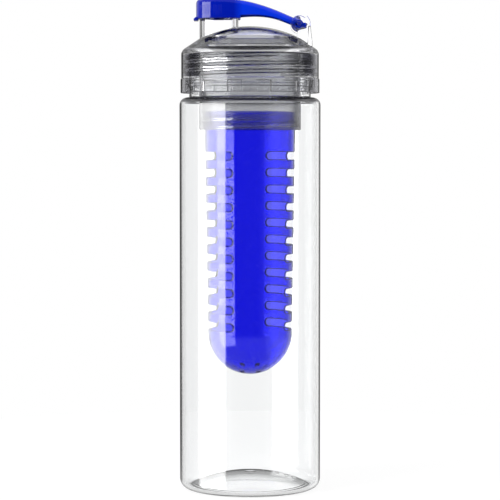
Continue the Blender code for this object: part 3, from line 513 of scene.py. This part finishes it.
def lid_thread_and_pockets(radius, height, angle):
    """The thread inside the skirt and the pockets round the band, as a change of the bore's radius.

    A pocket is 1 about the middle of the share of a turn it repeats at, and falls straight to 0 at
    its sides and top. The thread is the same ridge as the neck's, half a pitch lower.
    """
    bore = (np.abs(radius - SKIRT_BORE) < 0.02) & (height < SEAT - 3.0)
    ridge = helix_ridge(height, angle, LID_THREAD_TOP, LID_THREAD_TURNS, *COARSE_THREAD)
    half = math.pi / POCKETS
    off = np.abs(np.mod(angle - POCKET_TURN + half, 2.0 * half) - half)
    side = np.clip((POCKET_HALF - off) / POCKET_SIDE_EASE, 0.0, 1.0)
    top = np.clip((POCKET_TOP - height) / POCKET_TOP_EASE, 0.0, 1.0)
    pocket = side * top * (height > LID_BOTTOM + 0.25)
    return bore * (POCKET_DEPTH * pocket - COARSE_DEPTH * ridge)


def turned_away_shade(material, start, full):
    """How far a wall is turned from the eye, taken from 0 at a start to 1 at a full value: the share of
    painted shade it gets.
    """
    tree = material.node_tree
    facing = add_node(tree, "ShaderNodeLayerWeight", {"Blend": 0.5}).outputs["Facing"]
    return add_node(tree, "ShaderNodeMapRange", {0: facing, 1: start, 2: full}).outputs[0]


LID_CLEAR = (0.985, 0.986, 0.995)
clear_lid = moulded("clear_lid", LID_CLEAR, scale=90.0, bump=0.000005, Specular_Tint=DULLED, **HARD_CLEAR)
# Painted shade, (how much, lowest and highest height in metres, colour): the band, the skirt and the flank
# darkened where seen aslant, then the steps of the band and of the corner above the skirt darkened where they
# slope.
for amount, low, high, dark in (
    (turned_away_shade(clear_lid, 0.35, 0.60), 0.1960, 0.2045, (0.10, 0.10, 0.115)),
    (turned_away_shade(clear_lid, 0.13, 0.42), 0.2045, 0.2160, (0.05, 0.05, 0.065)),
    (turned_away_shade(clear_lid, 0.40, 0.65), 0.2160, 0.2240, (0.04, 0.04, 0.055)),
    (slope_shade_amount(clear_lid), 0.1960, 0.2035, (0.15, 0.15, 0.18)),
    (slope_shade_amount(clear_lid), 0.2150, 0.2190, (0.20, 0.20, 0.23)),
):
    paint_shade(clear_lid, amount, low, high, dark)
lid = ring_piece("lid_shell", round_grid(lid_path, 300, push=lid_thread_and_pockets), clear_lid)


CREASE, CARVED_CREASE = math.radians(40.0), math.radians(50.0)


def upright_side(name, outline, low, high, material=None, edge=0.0):
    """An outline of (x, z) points carried straight along Y, with its edges rounded by a bevel."""
    count = len(outline)
    points = np.zeros((2, count, 3))
    points[:, :, 0], points[:, :, 2] = outline[:, 0], outline[:, 1]
    points[0, :, 1], points[1, :, 1] = low, high
    here = np.arange(count)
    after = np.roll(here, -1)
    ends = [here.tolist(), (here[::-1] + count).tolist()]
    sides = np.stack([after, here, here + count, after + count], axis=1).tolist()
    mesh = bpy.data.meshes.new(name)
    mesh.from_pydata((points.reshape(-1, 3) * 0.001).tolist(), [], ends + sides)
    shape = bmesh.new()
    shape.from_mesh(mesh)
    bmesh.ops.recalc_face_normals(shape, faces=shape.faces)
    if edge:
        rims = [e for e in shape.edges if abs(e.verts[0].co.y - e.verts[1].co.y) < 1e-7]
        bmesh.ops.bevel(shape, geom=rims, offset=edge * 0.001, segments=2, affect="EDGES", profile=0.5)
    shape.to_mesh(mesh)
    shape.free()
    mesh.shade_smooth()
    mesh.set_sharp_from_angle(angle=CREASE)
    if material:
        mesh.materials.append(material)
    piece = bpy.data.objects.new(name, mesh)
    scene.collection.objects.link(piece)
    return piece


def carve(piece, tool, operation):
    """Join or cut a piece with another one, keep the result and drop the tool."""
    modifier = piece.modifiers.new("carve", "BOOLEAN")
    modifier.operation = operation
    modifier.solver = "EXACT"
    modifier.object = tool
    result = bpy.data.meshes.new_from_object(piece.evaluated_get(bpy.context.evaluated_depsgraph_get()))
    piece.modifiers.clear()
    piece.data = result
    bpy.data.objects.remove(tool, do_unlink=True)


def wall_middle(x, y):
    """The height of the middle of the lid's wall: the dome's ball, or the flank where that is lower."""
    r = np.hypot(x, y)
    ball = dome_middle[1] + np.sqrt(np.clip((dome_ball - DOME_WALL / 2.0) ** 2 - r**2, 0.0, None))
    return np.minimum(ball, LID_TOP - DOME_RISE - DOME_WALL / 2.0 - (r - DOME_EDGE) * math.tan(FLANK))


spout_path = rounded([
    (0.0, 0.0, 0),
    (SPOUT_RADIUS * 0.5, 0.0, 0),
    (SPOUT_RADIUS, 0.0, 0),
    (SPOUT_RADIUS, SPOUT_TOP - TAPER_LENGTH, 3.0),
    (SPOUT_RADIUS - TAPER, SPOUT_TOP, 0.5),
    (0.0, SPOUT_TOP, 0),
], steps=8)
spout_grid = round_grid(spout_path, 97, SPOUT_X)
spout_grid[:3, :, 2] = wall_middle(spout_grid[:3, :, 0], spout_grid[:3, :, 1])
spout = ring_piece("spout_wall", spout_grid, clear_lid)
hinge = (HINGE_X, HINGE_Z)
EAR_BACK, EAR_REACH, EAR_RADIUS, GUARD_RADIUS, EAR_INSIDE, EAR_OUTSIDE = 0.9, 6.5, 4.1, 5.5, 5.8, 8.0
EAR_FOOT, GUARD_FOOT, WEB_BACK, WEB_HALF, WEB_DROP, PIN_HOLE = 222.9, 3.6, 4.4, 6.9, 1.0, 1.3
ear_start = 360.0 - math.degrees(math.acos(-EAR_BACK / EAR_RADIUS))
ear_root = LID_TOP - DOME_RISE - EAR_REACH * math.tan(FLANK) - DOME_WALL
ear = np.concatenate([
    [(HINGE_X - EAR_BACK, EAR_FOOT)],
    arc(hinge, EAR_RADIUS, ear_start, 45.0, 30),
    arc(hinge, GUARD_RADIUS, 45.0, 0.0, 10),
    [(HINGE_X + EAR_REACH, ear_root + GUARD_FOOT), (HINGE_X + EAR_REACH, ear_root + 0.2)],
])
web = np.array([
    (HINGE_X + WEB_BACK, ear_root),
    (HINGE_X + EAR_REACH, ear_root),
    (HINGE_X + EAR_REACH, ear_root + GUARD_FOOT),
    (HINGE_X + GUARD_RADIUS, HINGE_Z - WEB_DROP),
    (HINGE_X + WEB_BACK, HINGE_Z - WEB_DROP),
])
carve(spout, upright_side("front_ear", ear, -EAR_OUTSIDE, -EAR_INSIDE, edge=0.3), "UNION")
carve(spout, upright_side("back_ear", ear, EAR_INSIDE, EAR_OUTSIDE, edge=0.3), "UNION")
carve(spout, upright_side("ear_web", web, -WEB_HALF, WEB_HALF, edge=0.2), "UNION")
carve(lid, spout, "UNION")
bore_path = np.array([(0.0, SEAT), (SPOUT_BORE, SEAT), (SPOUT_BORE, SPOUT_TOP + 1.0), (0.0, SPOUT_TOP + 1.0)])
carve(lid, ring_piece("spout_bore", round_grid(bore_path, 96, SPOUT_X), clear_lid), "DIFFERENCE")
hole = arc(hinge, PIN_HOLE, 0.0, 360.0, 32)[:-1]
carve(lid, upright_side("pin_hole", hole, -EAR_OUTSIDE - 1.0, EAR_OUTSIDE + 1.0), "DIFFERENCE")
lid.data.set_sharp_from_angle(angle=CARVED_CREASE)
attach(lid, "lid")
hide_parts("screw_lid")


# ---- Gasket
# A soft ring of pale silicone, moulded with eased edges and a shallow groove beneath. It lies
# loose under the lid's seat, and the lid presses it on the neck's lip.
GASKET_IN, GASKET_OUT, GASKET_LOW, GASKET_HIGH, GASKET_ROUND = 27.8, 30.0, 216.3, 217.7, 0.35
GROOVE_HALF, GROOVE_DEPTH, SILICONE_PALE = 0.3, 0.15, (0.86, 0.86, 0.87)
silicone = moulded(
    "silicone", SILICONE_PALE, roughness=0.4, grain=0.1, scale=900.0, bump=0.000004,
    Transmission_Weight=0.85, IOR=1.41
)
groove = (GASKET_IN + GASKET_OUT) / 2.0
gasket_path = rounded([
    (groove, GASKET_LOW + GROOVE_DEPTH, 0),
    (groove + GROOVE_HALF, GASKET_LOW, 0.2),
    (GASKET_OUT, GASKET_LOW, GASKET_ROUND),
    (GASKET_OUT, GASKET_HIGH, GASKET_ROUND),
    (GASKET_IN, GASKET_HIGH, GASKET_ROUND),
    (GASKET_IN, GASKET_LOW, GASKET_ROUND),
    (groove - GROOVE_HALF, GASKET_LOW, 0.2),
    (groove, GASKET_LOW + GROOVE_DEPTH, 0),
])[:-1]
gasket = ring_piece("gasket_ring", round_grid(gasket_path, 160), silicone, poles=False)
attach(gasket, "gasket")
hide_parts("lid_gasket")


# ---- Infuser collar
# A moulded tube of milky translucent plastic, pushed over the ring under the lid. It goes down
# through the neck, and a thread inside its foot takes the infuser.
COLLAR_RADIUS, COLLAR_BORE, COLLAR_TOP, COLLAR_BOTTOM, COLLAR_ROWS_TOP = 25.2, 24.2, 221.6, 178.7, 187.0
collar_middle = (COLLAR_RADIUS + COLLAR_BORE) / 2.0
collar_path = rounded([
    (collar_middle, COLLAR_BOTTOM, 0),
    (COLLAR_RADIUS, COLLAR_BOTTOM, 0.3),
    (COLLAR_RADIUS, COLLAR_TOP, 0.3),
    (COLLAR_BORE, COLLAR_TOP, 0.3),
    (COLLAR_BORE, COLLAR_BOTTOM, 0.3),
    (collar_middle, COLLAR_BOTTOM, 0),
])[:-1]
collar_path = with_rows(collar_path, COLLAR_BORE, COLLAR_BOTTOM, COLLAR_ROWS_TOP, 0.15)
FINE_THREAD, COLLAR_THREAD_DEPTH, COLLAR_THREAD_TOP, COLLAR_THREAD_TURNS = (3.9, 1.2, 0.5), 0.5, 184.35, 1.25


def collar_thread(radius, height, angle):
    """A low thread near the collar's foot: the ridge's depth, taken from the bore's radius."""
    inside = (radius < COLLAR_BORE + 0.05) & (height < COLLAR_ROWS_TOP + 0.5)
    ridge = helix_ridge(height, angle, COLLAR_THREAD_TOP, COLLAR_THREAD_TURNS, *FINE_THREAD)
    return inside * -COLLAR_THREAD_DEPTH * ridge


MILKY = (0.69, 0.695, 0.705)
milky = moulded(
    "milky_collar", MILKY, roughness=0.12, grain=0.03, scale=120.0, bump=0.000003,
    Transmission_Weight=0.93, IOR=1.45, Specular_Tint=(0.3, 0.3, 0.3, 1.0)
)
# Heights in metres: below the collar's foot, above its thread, and inside the neck.
COLLAR_FOOT, COLLAR_THREAD_HEAD, COLLAR_HIDDEN = 0.1780, 0.1875, 0.2100
# Painted shade: the collar's turned-away walls, and the sloping faces of its thread, are darkened in their
# colour.
paint_shade(milky, turned_away_shade(milky, 0.44, 0.75), COLLAR_FOOT, COLLAR_HIDDEN, (0.06, 0.06, 0.09))
paint_shade(milky, slope_shade_amount(milky), COLLAR_FOOT, COLLAR_THREAD_HEAD, (0.02, 0.02, 0.06))
collar = ring_piece("collar_tube", round_grid(collar_path, 200, push=collar_thread), milky, poles=False)
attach(collar, "lid")
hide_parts("infuser_collar")


# ---- Infuser
# A deep blue, clear moulded tube with a round bottom, slotted down both sides and drilled with a
# ring of drain holes. It screws into the collar by the thread round its rim.
INFUSER_TOP, INFUSER_BOTTOM, INFUSER_RADIUS, INFUSER_END, INFUSER_WALL = 187.7, 57.1, 22.4, 20.9, 1.6
SLOT_COUNT, SLOT_PITCH, SLOT_HALF, SLOT_FIRST, SLOT_EDGE = 11, 8.42, 1.85, INFUSER_TOP - 21.9, 0.35
SLOT_SPAN, SLOT_TURN = math.radians(100.7), math.radians(15.7)
SLOT_MARGINS = np.array([1.3, 0.5, SLOT_EDGE, 0.16, 0.05, 0.0])
SLOT_LINE, SLOT_LINE_EASE, RIM_EASE, TUBE_ROWS = 0.5, 0.15, 0.4, [177.0, 173.0]
slot_radius = (INFUSER_RADIUS + INFUSER_END) / 2.0
tip = SLOT_EDGE / slot_radius
end = SLOT_HALF / slot_radius
half_span = SLOT_SPAN / 2.0
bend = np.sin(np.linspace(0.0, math.pi / 2.0, 9))
straight_share = np.linspace(0.0, half_span - end, 22)[:-1]
past_tip = half_span + tip * np.array([0.15, 0.5, 1.0, 1.5])
quarter = np.concatenate([straight_share, half_span - end + end * bend, past_tip])
side_angles = np.concatenate([-quarter[:0:-1], quarter])
gap = np.linspace(past_tip[-1], math.pi - past_tip[-1], 22)[1:-1]
infuser_angles = SLOT_TURN + np.concatenate([side_angles, gap, side_angles + math.pi, gap + math.pi])
along_slot = np.abs(np.mod(infuser_angles - SLOT_TURN + math.pi / 2.0, math.pi) - math.pi / 2.0) * slot_radius
past_run = np.clip(along_slot - (half_span * slot_radius - SLOT_HALF), 0.0, None)
open_column = past_run < SLOT_HALF - 1e-6


def infuser_wall(offset):
    """Section points of the infuser's wall, at a distance inside its outer surface, from the rim down."""
    centre = INFUSER_BOTTOM + INFUSER_END
    straight = np.array([(INFUSER_RADIUS - offset, COLLAR_BOTTOM), (INFUSER_END - offset, centre)])
    ball = arc((0.0, centre), INFUSER_END - offset, 0.0, -90.0, 26)[1:]
    ball[-1, 0] = 0.0
    return straight, ball


def slotted_wall(offset, rim):
    """A grid over one surface of the infuser from the rim down, with a painted-shade mark along the slots'
    edges.

    Rows above and below a slot follow the slot's outline: their distance from its middle is the half
    height of a stadium grown by the row's own margin, and past the tips they meet. Near the outline
    the wall falls back by a quarter circle, which rounds the slot's edge. The mark falls from 1 to 0
    a little outside it. The row at the top of each slot is given too.
    """
    straight, ball = infuser_wall(offset)
    angle = infuser_angles[None, :]
    centres = SLOT_FIRST - SLOT_PITCH * np.arange(SLOT_COUNT)
    grown = SLOT_HALF + SLOT_MARGINS[:, None]
    half = np.sqrt(np.clip(grown**2 - past_run**2, 0.0, None))
    half[0] = grown[0]
    spread = np.concatenate([half, -half[::-1]])
    height = (centres[:, None, None] + spread).reshape(-1, len(infuser_angles))
    height = np.concatenate([np.repeat(rim[:, None], len(infuser_angles), axis=1), height])
    slope = (straight[0, 0] - straight[1, 0]) / (straight[0, 1] - straight[1, 1])
    radius = straight[1, 0] + slope * (np.minimum(height, COLLAR_BOTTOM) - straight[1, 1])
    nearest = centres[np.argmin(np.abs(height[:, :, None] - centres), axis=2)]
    outside = np.hypot(past_run, height - nearest) - SLOT_HALF
    near = np.clip(SLOT_EDGE - outside, 0.0, SLOT_EDGE)
    dip = SLOT_EDGE - np.sqrt(SLOT_EDGE**2 - near**2)
    radius = radius - dip if offset == 0.0 else radius + dip
    ball = np.repeat(ball[:, None, :], len(infuser_angles), axis=1)
    radius = np.concatenate([radius, ball[:, :, 0]])
    height = np.concatenate([height, ball[:, :, 1]])
    mark = np.clip((SLOT_LINE - outside) / SLOT_LINE_EASE, 0.0, 1.0)
    mark = np.concatenate([mark, np.zeros(ball.shape[:2])])
    slot_tops = len(rim) - 1 + len(SLOT_MARGINS) * (1 + 2 * np.arange(SLOT_COUNT))
    return radius, height, angle, mark, slot_tops


INFUSER_THREAD_TOP, INFUSER_THREAD_TURNS = 186.3, 1.5


def infuser_thread(height, angle):
    """The rim's thread: the ridge itself, 1 mm proud of the tube."""
    return helix_ridge(height, angle, INFUSER_THREAD_TOP, INFUSER_THREAD_TURNS, *FINE_THREAD)


outer_rim = np.append(np.linspace(INFUSER_TOP - RIM_EASE, COLLAR_BOTTOM, 62), TUBE_ROWS)
inner_rim = np.array([INFUSER_TOP - RIM_EASE, 183.0, COLLAR_BOTTOM] + TUBE_ROWS)
skins = []
for offset, rim in ((0.0, outer_rim), (INFUSER_WALL, inner_rim)):
    radius, height, angle, mark, holes = slotted_wall(offset, rim)
    if offset == 0.0:
        radius[: len(rim)] += infuser_thread(height[: len(rim)], angle)
    grid = np.stack([radius * np.cos(angle), radius * np.sin(angle), height], axis=-1)
    skins.append((grid, holes, mark))
top_out, top_in = skins[0][0][0].copy(), skins[1][0][0].copy()
lift = np.array([0.0, 0.0, RIM_EASE])
across = top_out - top_in
rim_rows = [
    top_in + lift * 0.7,
    top_in + lift + across * 0.12,
    top_out + lift - across * 0.12,
    top_out + lift * 0.7,
]
inner_grid, outer_grid = skins[1][0][::-1], skins[0][0]
whole = np.concatenate([inner_grid, rim_rows, outer_grid])
slot_shade_share = np.concatenate([skins[1][2][::-1], np.zeros((len(rim_rows), whole.shape[1])), skins[0][2]])
rows, columns = whole.shape[:2]
index = np.arange(rows * columns).reshape(rows, columns)
index[0], index[-1] = index[0, 0], index[-1, 0]
low, high = index[:-1], index[1:]
closed = np.ones(rows - 1, bool)
outer_holes = len(inner_grid) + len(rim_rows) + skins[0][1]
inner_holes = len(inner_grid) - 2 - skins[1][1]
closed[outer_holes] = closed[inner_holes] = closed[0] = closed[-1] = False
in_slot = open_column | np.roll(open_column, -1)
bands = [band_quads(high[closed], low[closed])]
for out_row, in_row in zip(outer_holes, inner_holes):
    bands.append(band_quads(index[[out_row]], index[[in_row + 1]])[in_slot])
    bands.append(band_quads(index[[in_row]], index[[out_row + 1]])[in_slot])
quads = np.concatenate(bands)
first, last = index[1], index[-2]
triangles = np.concatenate([
    np.stack([first, np.roll(first, -1), index[0]], axis=-1),
    np.stack([index[-1], np.roll(last, -1), last], axis=-1),
])
SKIN_COLOUR = (0.95, 0.95, 1.0)
blue_clear = moulded(
    "blue_infuser", SKIN_COLOUR, roughness=0.03, grain=0.015, scale=70.0, bump=0.000003,
    Transmission_Weight=1.0, IOR=1.5, Specular_Tint=(0.7, 0.7, 0.7, 1.0)
)
DYE_COLOUR, DYE_DENSITY, SLOT_SHADE = (0.0, 0.02, 0.957, 1.0), 1380.0, (0.001, 0.001, 0.03)
tree = blue_clear.node_tree
dye = add_node(tree, "ShaderNodeVolumeAbsorption", {"Color": DYE_COLOUR, "Density": DYE_DENSITY})
tree.links.new(dye.outputs[0], tree.nodes["Material Output"].inputs["Volume"])
# Painted shade: a dark line round each slot's edge, blended into the infuser's colour by the mesh's mark.
slot_edge = add_node(tree, "ShaderNodeAttribute", attribute_name="slot_edge").outputs["Fac"]
paint_shade(blue_clear, slot_edge, 0.0, 0.3, SLOT_SHADE)
infuser = mesh_piece("infuser_tube", whole, quads, triangles, blue_clear, marks=("slot_edge", slot_shade_share))


def close_seams(piece, gap, sliver=0.0):
    """Merge points closer than a gap in metres, drop slivers, and point all faces outwards."""
    shape = bmesh.new()
    shape.from_mesh(piece.data)
    bmesh.ops.remove_doubles(shape, verts=shape.verts, dist=gap)
    if sliver:
        bmesh.ops.dissolve_degenerate(shape, edges=shape.edges, dist=sliver)
    bmesh.ops.recalc_face_normals(shape, faces=shape.faces)
    shape.to_mesh(piece.data)
    shape.free()


close_seams(infuser, 2e-7, 1e-8)
DRAINS, DRAIN_RING, DRAIN_RADIUS, DRAIN_TURN, DRILL_LOW, DRILL_HIGH = 6, 8.0, 1.3, 0.011, 54.0, 68.0
drill_path = np.array([
    (0.0, DRILL_LOW),
    (DRAIN_RADIUS, DRILL_LOW),
    (DRAIN_RADIUS, DRILL_HIGH),
    (0.0, DRILL_HIGH),
])
for i, a in enumerate(np.arange(DRAINS) * 2.0 * math.pi / DRAINS + DRAIN_TURN):
    grid = round_grid(drill_path, 24, DRAIN_RING)
    c, s = math.cos(a), math.sin(a)
    grid[..., :2] = grid[..., :2] @ np.array([[c, s], [-s, c]])
    carve(infuser, ring_piece(f"drill_{i}", grid, blue_clear), "DIFFERENCE")
infuser.data.set_sharp_from_angle(angle=CARVED_CREASE)
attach(infuser, "infuser")
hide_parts("infuser")


# ---- Flip cap
# An opaque blue moulding: a round pod that closes over the spout, an arm that is hollow beneath and
# runs back to the hinge, a barrel for the pin, a stop behind it and a lip for the thumb.
CAP_TOP, POD_BOTTOM, POD_X, POD_RADIUS, POD_BORE, CAP_CEILING = 243.7, 233.5, -15.7, 10.95, 9.9, 242.1
CAP_WALL, CROWN, CORNER, BARREL_RADIUS, BARREL_HALF = 1.6, 0.8, 1.7, 2.1, 5.5
ARM_DEPTH, ARM_NECK, ARM_END = 3.45, HINGE_X - 8.0, 24.9
HOLLOW_HALF, HOLLOW_NECK, HOLLOW_END = 4.2, 14.6, 14.7
STOP_REACH, STOP_DROP, STOP_RISE, STOP_HALF = 3.3, 1.6, 0.6, 5.2
LIP_REACH, LIP_ROOT, LIP_DEPTH, LIP_HALF = 1.2, 1.05, 0.9, 4.0
# The arm's blue, the pod's blue painted darker as painted shade on its rounded side, and where across the
# bottle, in metres, the one begins to turn into the other and has done so.
ARM_COLOUR, POD_SHADE_COLOUR, BLEND_START, BLEND_END = (0.001, 0.03, 0.66), (0.0, 0.009, 0.36), -0.0035, -0.0080
cap_blue = moulded(
    "cap_blue", ARM_COLOUR, roughness=0.06, grain=0.02, scale=700.0, bump=0.000002, Specular_IOR_Level=0.42
)
tree = cap_blue.node_tree
place = add_node(tree, "ShaderNodeTexCoord").outputs["Object"]
along_arm = add_node(tree, "ShaderNodeSeparateXYZ", {0: place}).outputs["X"]
# Painted shade: across X the arm's blue turns into the pod's darker copy of it.
pod_shade = add_node(tree, "ShaderNodeMapRange", {0: along_arm, 1: BLEND_START, 2: BLEND_END}).outputs[0]
colour = add_node(tree, "ShaderNodeMix", {0: pod_shade}, data_type="RGBA")
colour.inputs[6].default_value = (*ARM_COLOUR, 1.0)
colour.inputs[7].default_value = (*POD_SHADE_COLOUR, 1.0)
tree.links.new(colour.outputs[2], tree.nodes["Principled BSDF"].inputs["Base Color"])
slope, rise = math.radians(21.0), math.radians(5.0)
normal = np.array([math.sin(slope), math.cos(slope)])
along = np.array([math.cos(slope), -math.sin(slope)])


def cubic(p0, p1, p2, p3, steps=200):
    """Points along the cubic curve (1-t)^3 p0 + 3(1-t)^2 t p1 + 3(1-t) t^2 p2 + t^3 p3."""
    t = np.linspace(0.0, 1.0, steps)[:, None]
    p0, p1, p2, p3 = (np.array(p, float) for p in (p0, p1, p2, p3))
    return (1 - t) ** 3 * p0 + 3 * (1 - t) ** 2 * t * p1 + 3 * (1 - t) * t * t * p2 + t**3 * p3


# How far each curve's two leads reach from its ends.
TOP_LEADS, UNDER_LEADS = (19.0, 8.0), (15.0, 10.0)
root = np.array(hinge) + BARREL_RADIUS * normal
arm_top = cubic((SPOUT_X, CAP_TOP), (SPOUT_X + TOP_LEADS[0], CAP_TOP), root - TOP_LEADS[1] * along, root)
under_start, under_end = np.array([-4.75, POD_BOTTOM + 1.3]), root - ARM_DEPTH * normal
under_lead = under_start + UNDER_LEADS[0] * np.array([math.cos(rise), math.sin(rise)])
arm_under = cubic(under_start, under_lead, under_end - UNDER_LEADS[1] * along, under_end)
FOOT_STEP, STEP_SHARES = under_start[0] - 0.03, [0.3015, 0.3035]


def top_height(x):
    """The height of the cap's ridge line over its length."""
    return np.interp(x, arm_top[:, 0], arm_top[:, 1])


def foot_height(x):
    """The height of the cap's lower edge over its length: the pod's, then the arm's underside."""
    return np.where(x < FOOT_STEP, POD_BOTTOM, np.interp(x, arm_under[:, 0], arm_under[:, 1]))


def cap_outline(pod_x, pod_radius, half, neck, arm_end):
    """The cap from above, as outline points and the spine points that they close in to.

    A circle about the pod, two lines tangent to it that close in to the neck, and the neck's sides.
    Two points close together on each line carry the step in the foot. A spine point is where the
    outline's inward normal meets the middle line.
    """
    reach = math.hypot(neck - pod_x, half)
    touch = math.atan2(half, neck - pod_x) + math.acos(pod_radius / reach)
    turn = np.linspace(touch, 2.0 * math.pi - touch, 97)
    pod = np.stack([pod_x + pod_radius * np.cos(turn), pod_radius * np.sin(turn)], axis=1)
    share = np.sort(np.append(np.linspace(0.0, 1.0, 49)[1:], STEP_SHARES))[:, None]
    lower = pod[-1] + (np.array([neck, -half]) - pod[-1]) * share
    steps = np.linspace(0.0, 1.0, 9)[1:, None]
    side = lower[-1] + (np.array([arm_end, -half]) - lower[-1]) * steps
    across = np.linspace(-half, half, 12)[1:-1]
    end_line = np.stack([np.full(len(across), arm_end), across], axis=1)
    outline = np.concatenate([pod, lower, side, end_line, side[::-1] * [1, -1], lower[::-1] * [1, -1]])
    lean = math.tan(math.pi / 2.0 - touch)
    spine_pod = np.tile([[pod_x, 0.0]], (len(pod), 1))
    spine_lower = np.column_stack([lower[:, 0] - np.abs(lower[:, 1]) * lean, np.zeros(len(lower))])
    side_x = np.maximum(side[:, 0] - half * lean * (1 - steps[:, 0]), spine_lower[-1, 0])
    spine_side = np.column_stack([side_x, np.zeros(len(side))])
    spine_end = np.tile([[arm_end - 0.4, 0.0]], (len(end_line), 1))
    spine = [spine_pod, spine_lower, spine_side, spine_end, spine_side[::-1], spine_lower[::-1]]
    return outline, np.concatenate(spine)


outer_line, outer_spine = cap_outline(POD_X, POD_RADIUS, BARREL_HALF, ARM_NECK, ARM_END)
inner_line, inner_spine = cap_outline(SPOUT_X, POD_BORE, HOLLOW_HALF, HOLLOW_NECK, HOLLOW_END)
inward = outer_spine - outer_line
width = np.linalg.norm(inward, axis=1, keepdims=True)
inward /= width
rows = []
for share in (0.0, 0.35, 0.7, 1.0):
    spot = inner_spine + (inner_line - inner_spine) * share
    ceiling = np.minimum(top_height(spot[:, 0]) - CAP_WALL, CAP_CEILING)
    rows.append(np.column_stack([spot, ceiling]))
foot_in, foot_out = foot_height(inner_line[:, 0]), foot_height(outer_line[:, 0])
rows.append(np.column_stack([inner_line, foot_in + 0.25]))
rows.append(np.column_stack([inner_line + (outer_line - inner_line) * 0.25, foot_in]))
rows.append(np.column_stack([outer_line + inward * 0.3, foot_out]))
rows.append(np.column_stack([outer_line, foot_out + 0.3]))
for turned in np.radians(np.linspace(0.0, 90.0, 9)):
    inset = CORNER * (1.0 - math.cos(turned))
    spot = outer_line + inward * inset
    share = 1.0 - inset / width[:, 0]
    height = top_height(spot[:, 0]) - CROWN * share**2 - CORNER * (1.0 - math.sin(turned))
    rows.append(np.column_stack([spot, height]))
for share in np.linspace(1.0, 0.0, 14)[1:]:
    reach = (1.0 - CORNER / width[:, 0]) * share
    spot = outer_spine + (outer_line - outer_spine) * reach[:, None]
    rows.append(np.column_stack([spot, top_height(spot[:, 0]) - CROWN * reach**2]))
grid = np.stack(rows)
index = np.arange(grid.shape[0] * grid.shape[1]).reshape(grid.shape[:2])
cap = mesh_piece("cap_shell", grid, band_quads(index[:-1], index[1:]), np.zeros((0, 3), int), cap_blue)
close_seams(cap, 1e-6)
cap.data.set_sharp_from_angle(angle=CREASE)
pod_wall_top = CAP_CEILING - 2.1
pod_wall_path = rounded([
    (POD_BORE, pod_wall_top, 0),
    (POD_BORE, POD_BOTTOM, 0.3),
    (POD_RADIUS, POD_BOTTOM, 0.3),
    (POD_RADIUS, pod_wall_top, 0),
])
pod_wall = ring_piece("cap_pod_wall", round_grid(pod_wall_path, 120, POD_X), cap_blue, poles=False)
barrel_round = arc(hinge, BARREL_RADIUS, 0.0, 360.0, 48)[:-1]
barrel = upright_side("cap_barrel", barrel_round, -BARREL_HALF, BARREL_HALF, cap_blue, 0.25)
nib = rounded([
    (HINGE_X, HINGE_Z - STOP_DROP, 0),
    (HINGE_X + STOP_REACH, HINGE_Z - STOP_DROP, 0.5),
    (HINGE_X + STOP_REACH, HINGE_Z + STOP_RISE, 0.5),
    (HINGE_X, HINGE_Z + STOP_RISE, 0),
])
stop = upright_side("cap_stop", nib, -STOP_HALF, STOP_HALF, cap_blue, 0.25)
lip_x = POD_X - POD_RADIUS
thumb = rounded([
    (lip_x - LIP_REACH, POD_BOTTOM - 0.5, 0),
    (lip_x - LIP_REACH, POD_BOTTOM - LIP_DEPTH, 0.3),
    (lip_x + LIP_ROOT, POD_BOTTOM - LIP_DEPTH, 0.2),
    (lip_x + LIP_ROOT, POD_BOTTOM + LIP_DEPTH, 0),
    (lip_x - 0.1, POD_BOTTOM + LIP_DEPTH, 0.4),
    (lip_x - LIP_REACH, POD_BOTTOM, 0.3),
    (lip_x - LIP_REACH, POD_BOTTOM - 0.5, 0),
])[:-1]
thumb_lip = upright_side("cap_thumb_lip", thumb, -LIP_HALF, LIP_HALF, cap_blue, 0.25)
for piece in (cap, pod_wall, barrel, stop, thumb_lip):
    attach(piece, "cap")
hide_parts("flip_cap")


# ---- Spout seal
# A soft plug on a disc, moulded in one from the gasket's pale silicone. The disc is pressed into
# the roof of the cap's pod, and the plug closes the spout.
PLUG_TIP, PLUG_ROOT, DISC_RADIUS, PLUG_LOW, DISC_LOW, DISC_HIGH = 6.0, 6.9, 9.2, 238.2, 240.8, 241.8
seal_path = rounded([
    (0.0, PLUG_LOW, 0),
    (PLUG_TIP, PLUG_LOW, 0.5),
    (PLUG_ROOT, DISC_LOW, 0.2),
    (DISC_RADIUS, DISC_LOW, 0.3),
    (DISC_RADIUS, DISC_HIGH, 0.3),
    (0.0, DISC_HIGH, 0),
])
seal = ring_piece("seal_plug", round_grid(seal_path, 96, SPOUT_X), silicone)
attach(seal, "cap")
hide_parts("spout_seal")


# ---- Hinge pin
# A blue moulded pin with eased ends. It is pressed through the lid's two ears, and the cap's
# barrel turns on it.
PIN_RADIUS, PIN_HALF, PIN_EASE, PIN_COLOUR = 1.0, 8.0, 0.3, (0.003, 0.012, 0.28)
pin_path = np.concatenate([
    [(0.0, -PIN_HALF)],
    arc((PIN_RADIUS - PIN_EASE, PIN_EASE - PIN_HALF), PIN_EASE, -90.0, 0.0, 4),
    arc((PIN_RADIUS - PIN_EASE, PIN_HALF - PIN_EASE), PIN_EASE, 0.0, 90.0, 4),
    [(0.0, PIN_HALF)],
])
pin_grid = round_grid(pin_path, 32)
pin_grid = np.stack([HINGE_X + pin_grid[..., 0], -pin_grid[..., 2], HINGE_Z + pin_grid[..., 1]], axis=-1)
pin_blue = moulded("pin_blue", PIN_COLOUR, roughness=0.25, grain=0.05, scale=700.0, bump=0.000006)
pin = ring_piece("pin_rod", pin_grid, pin_blue)
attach(pin, "lid")
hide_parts("hinge_pin")
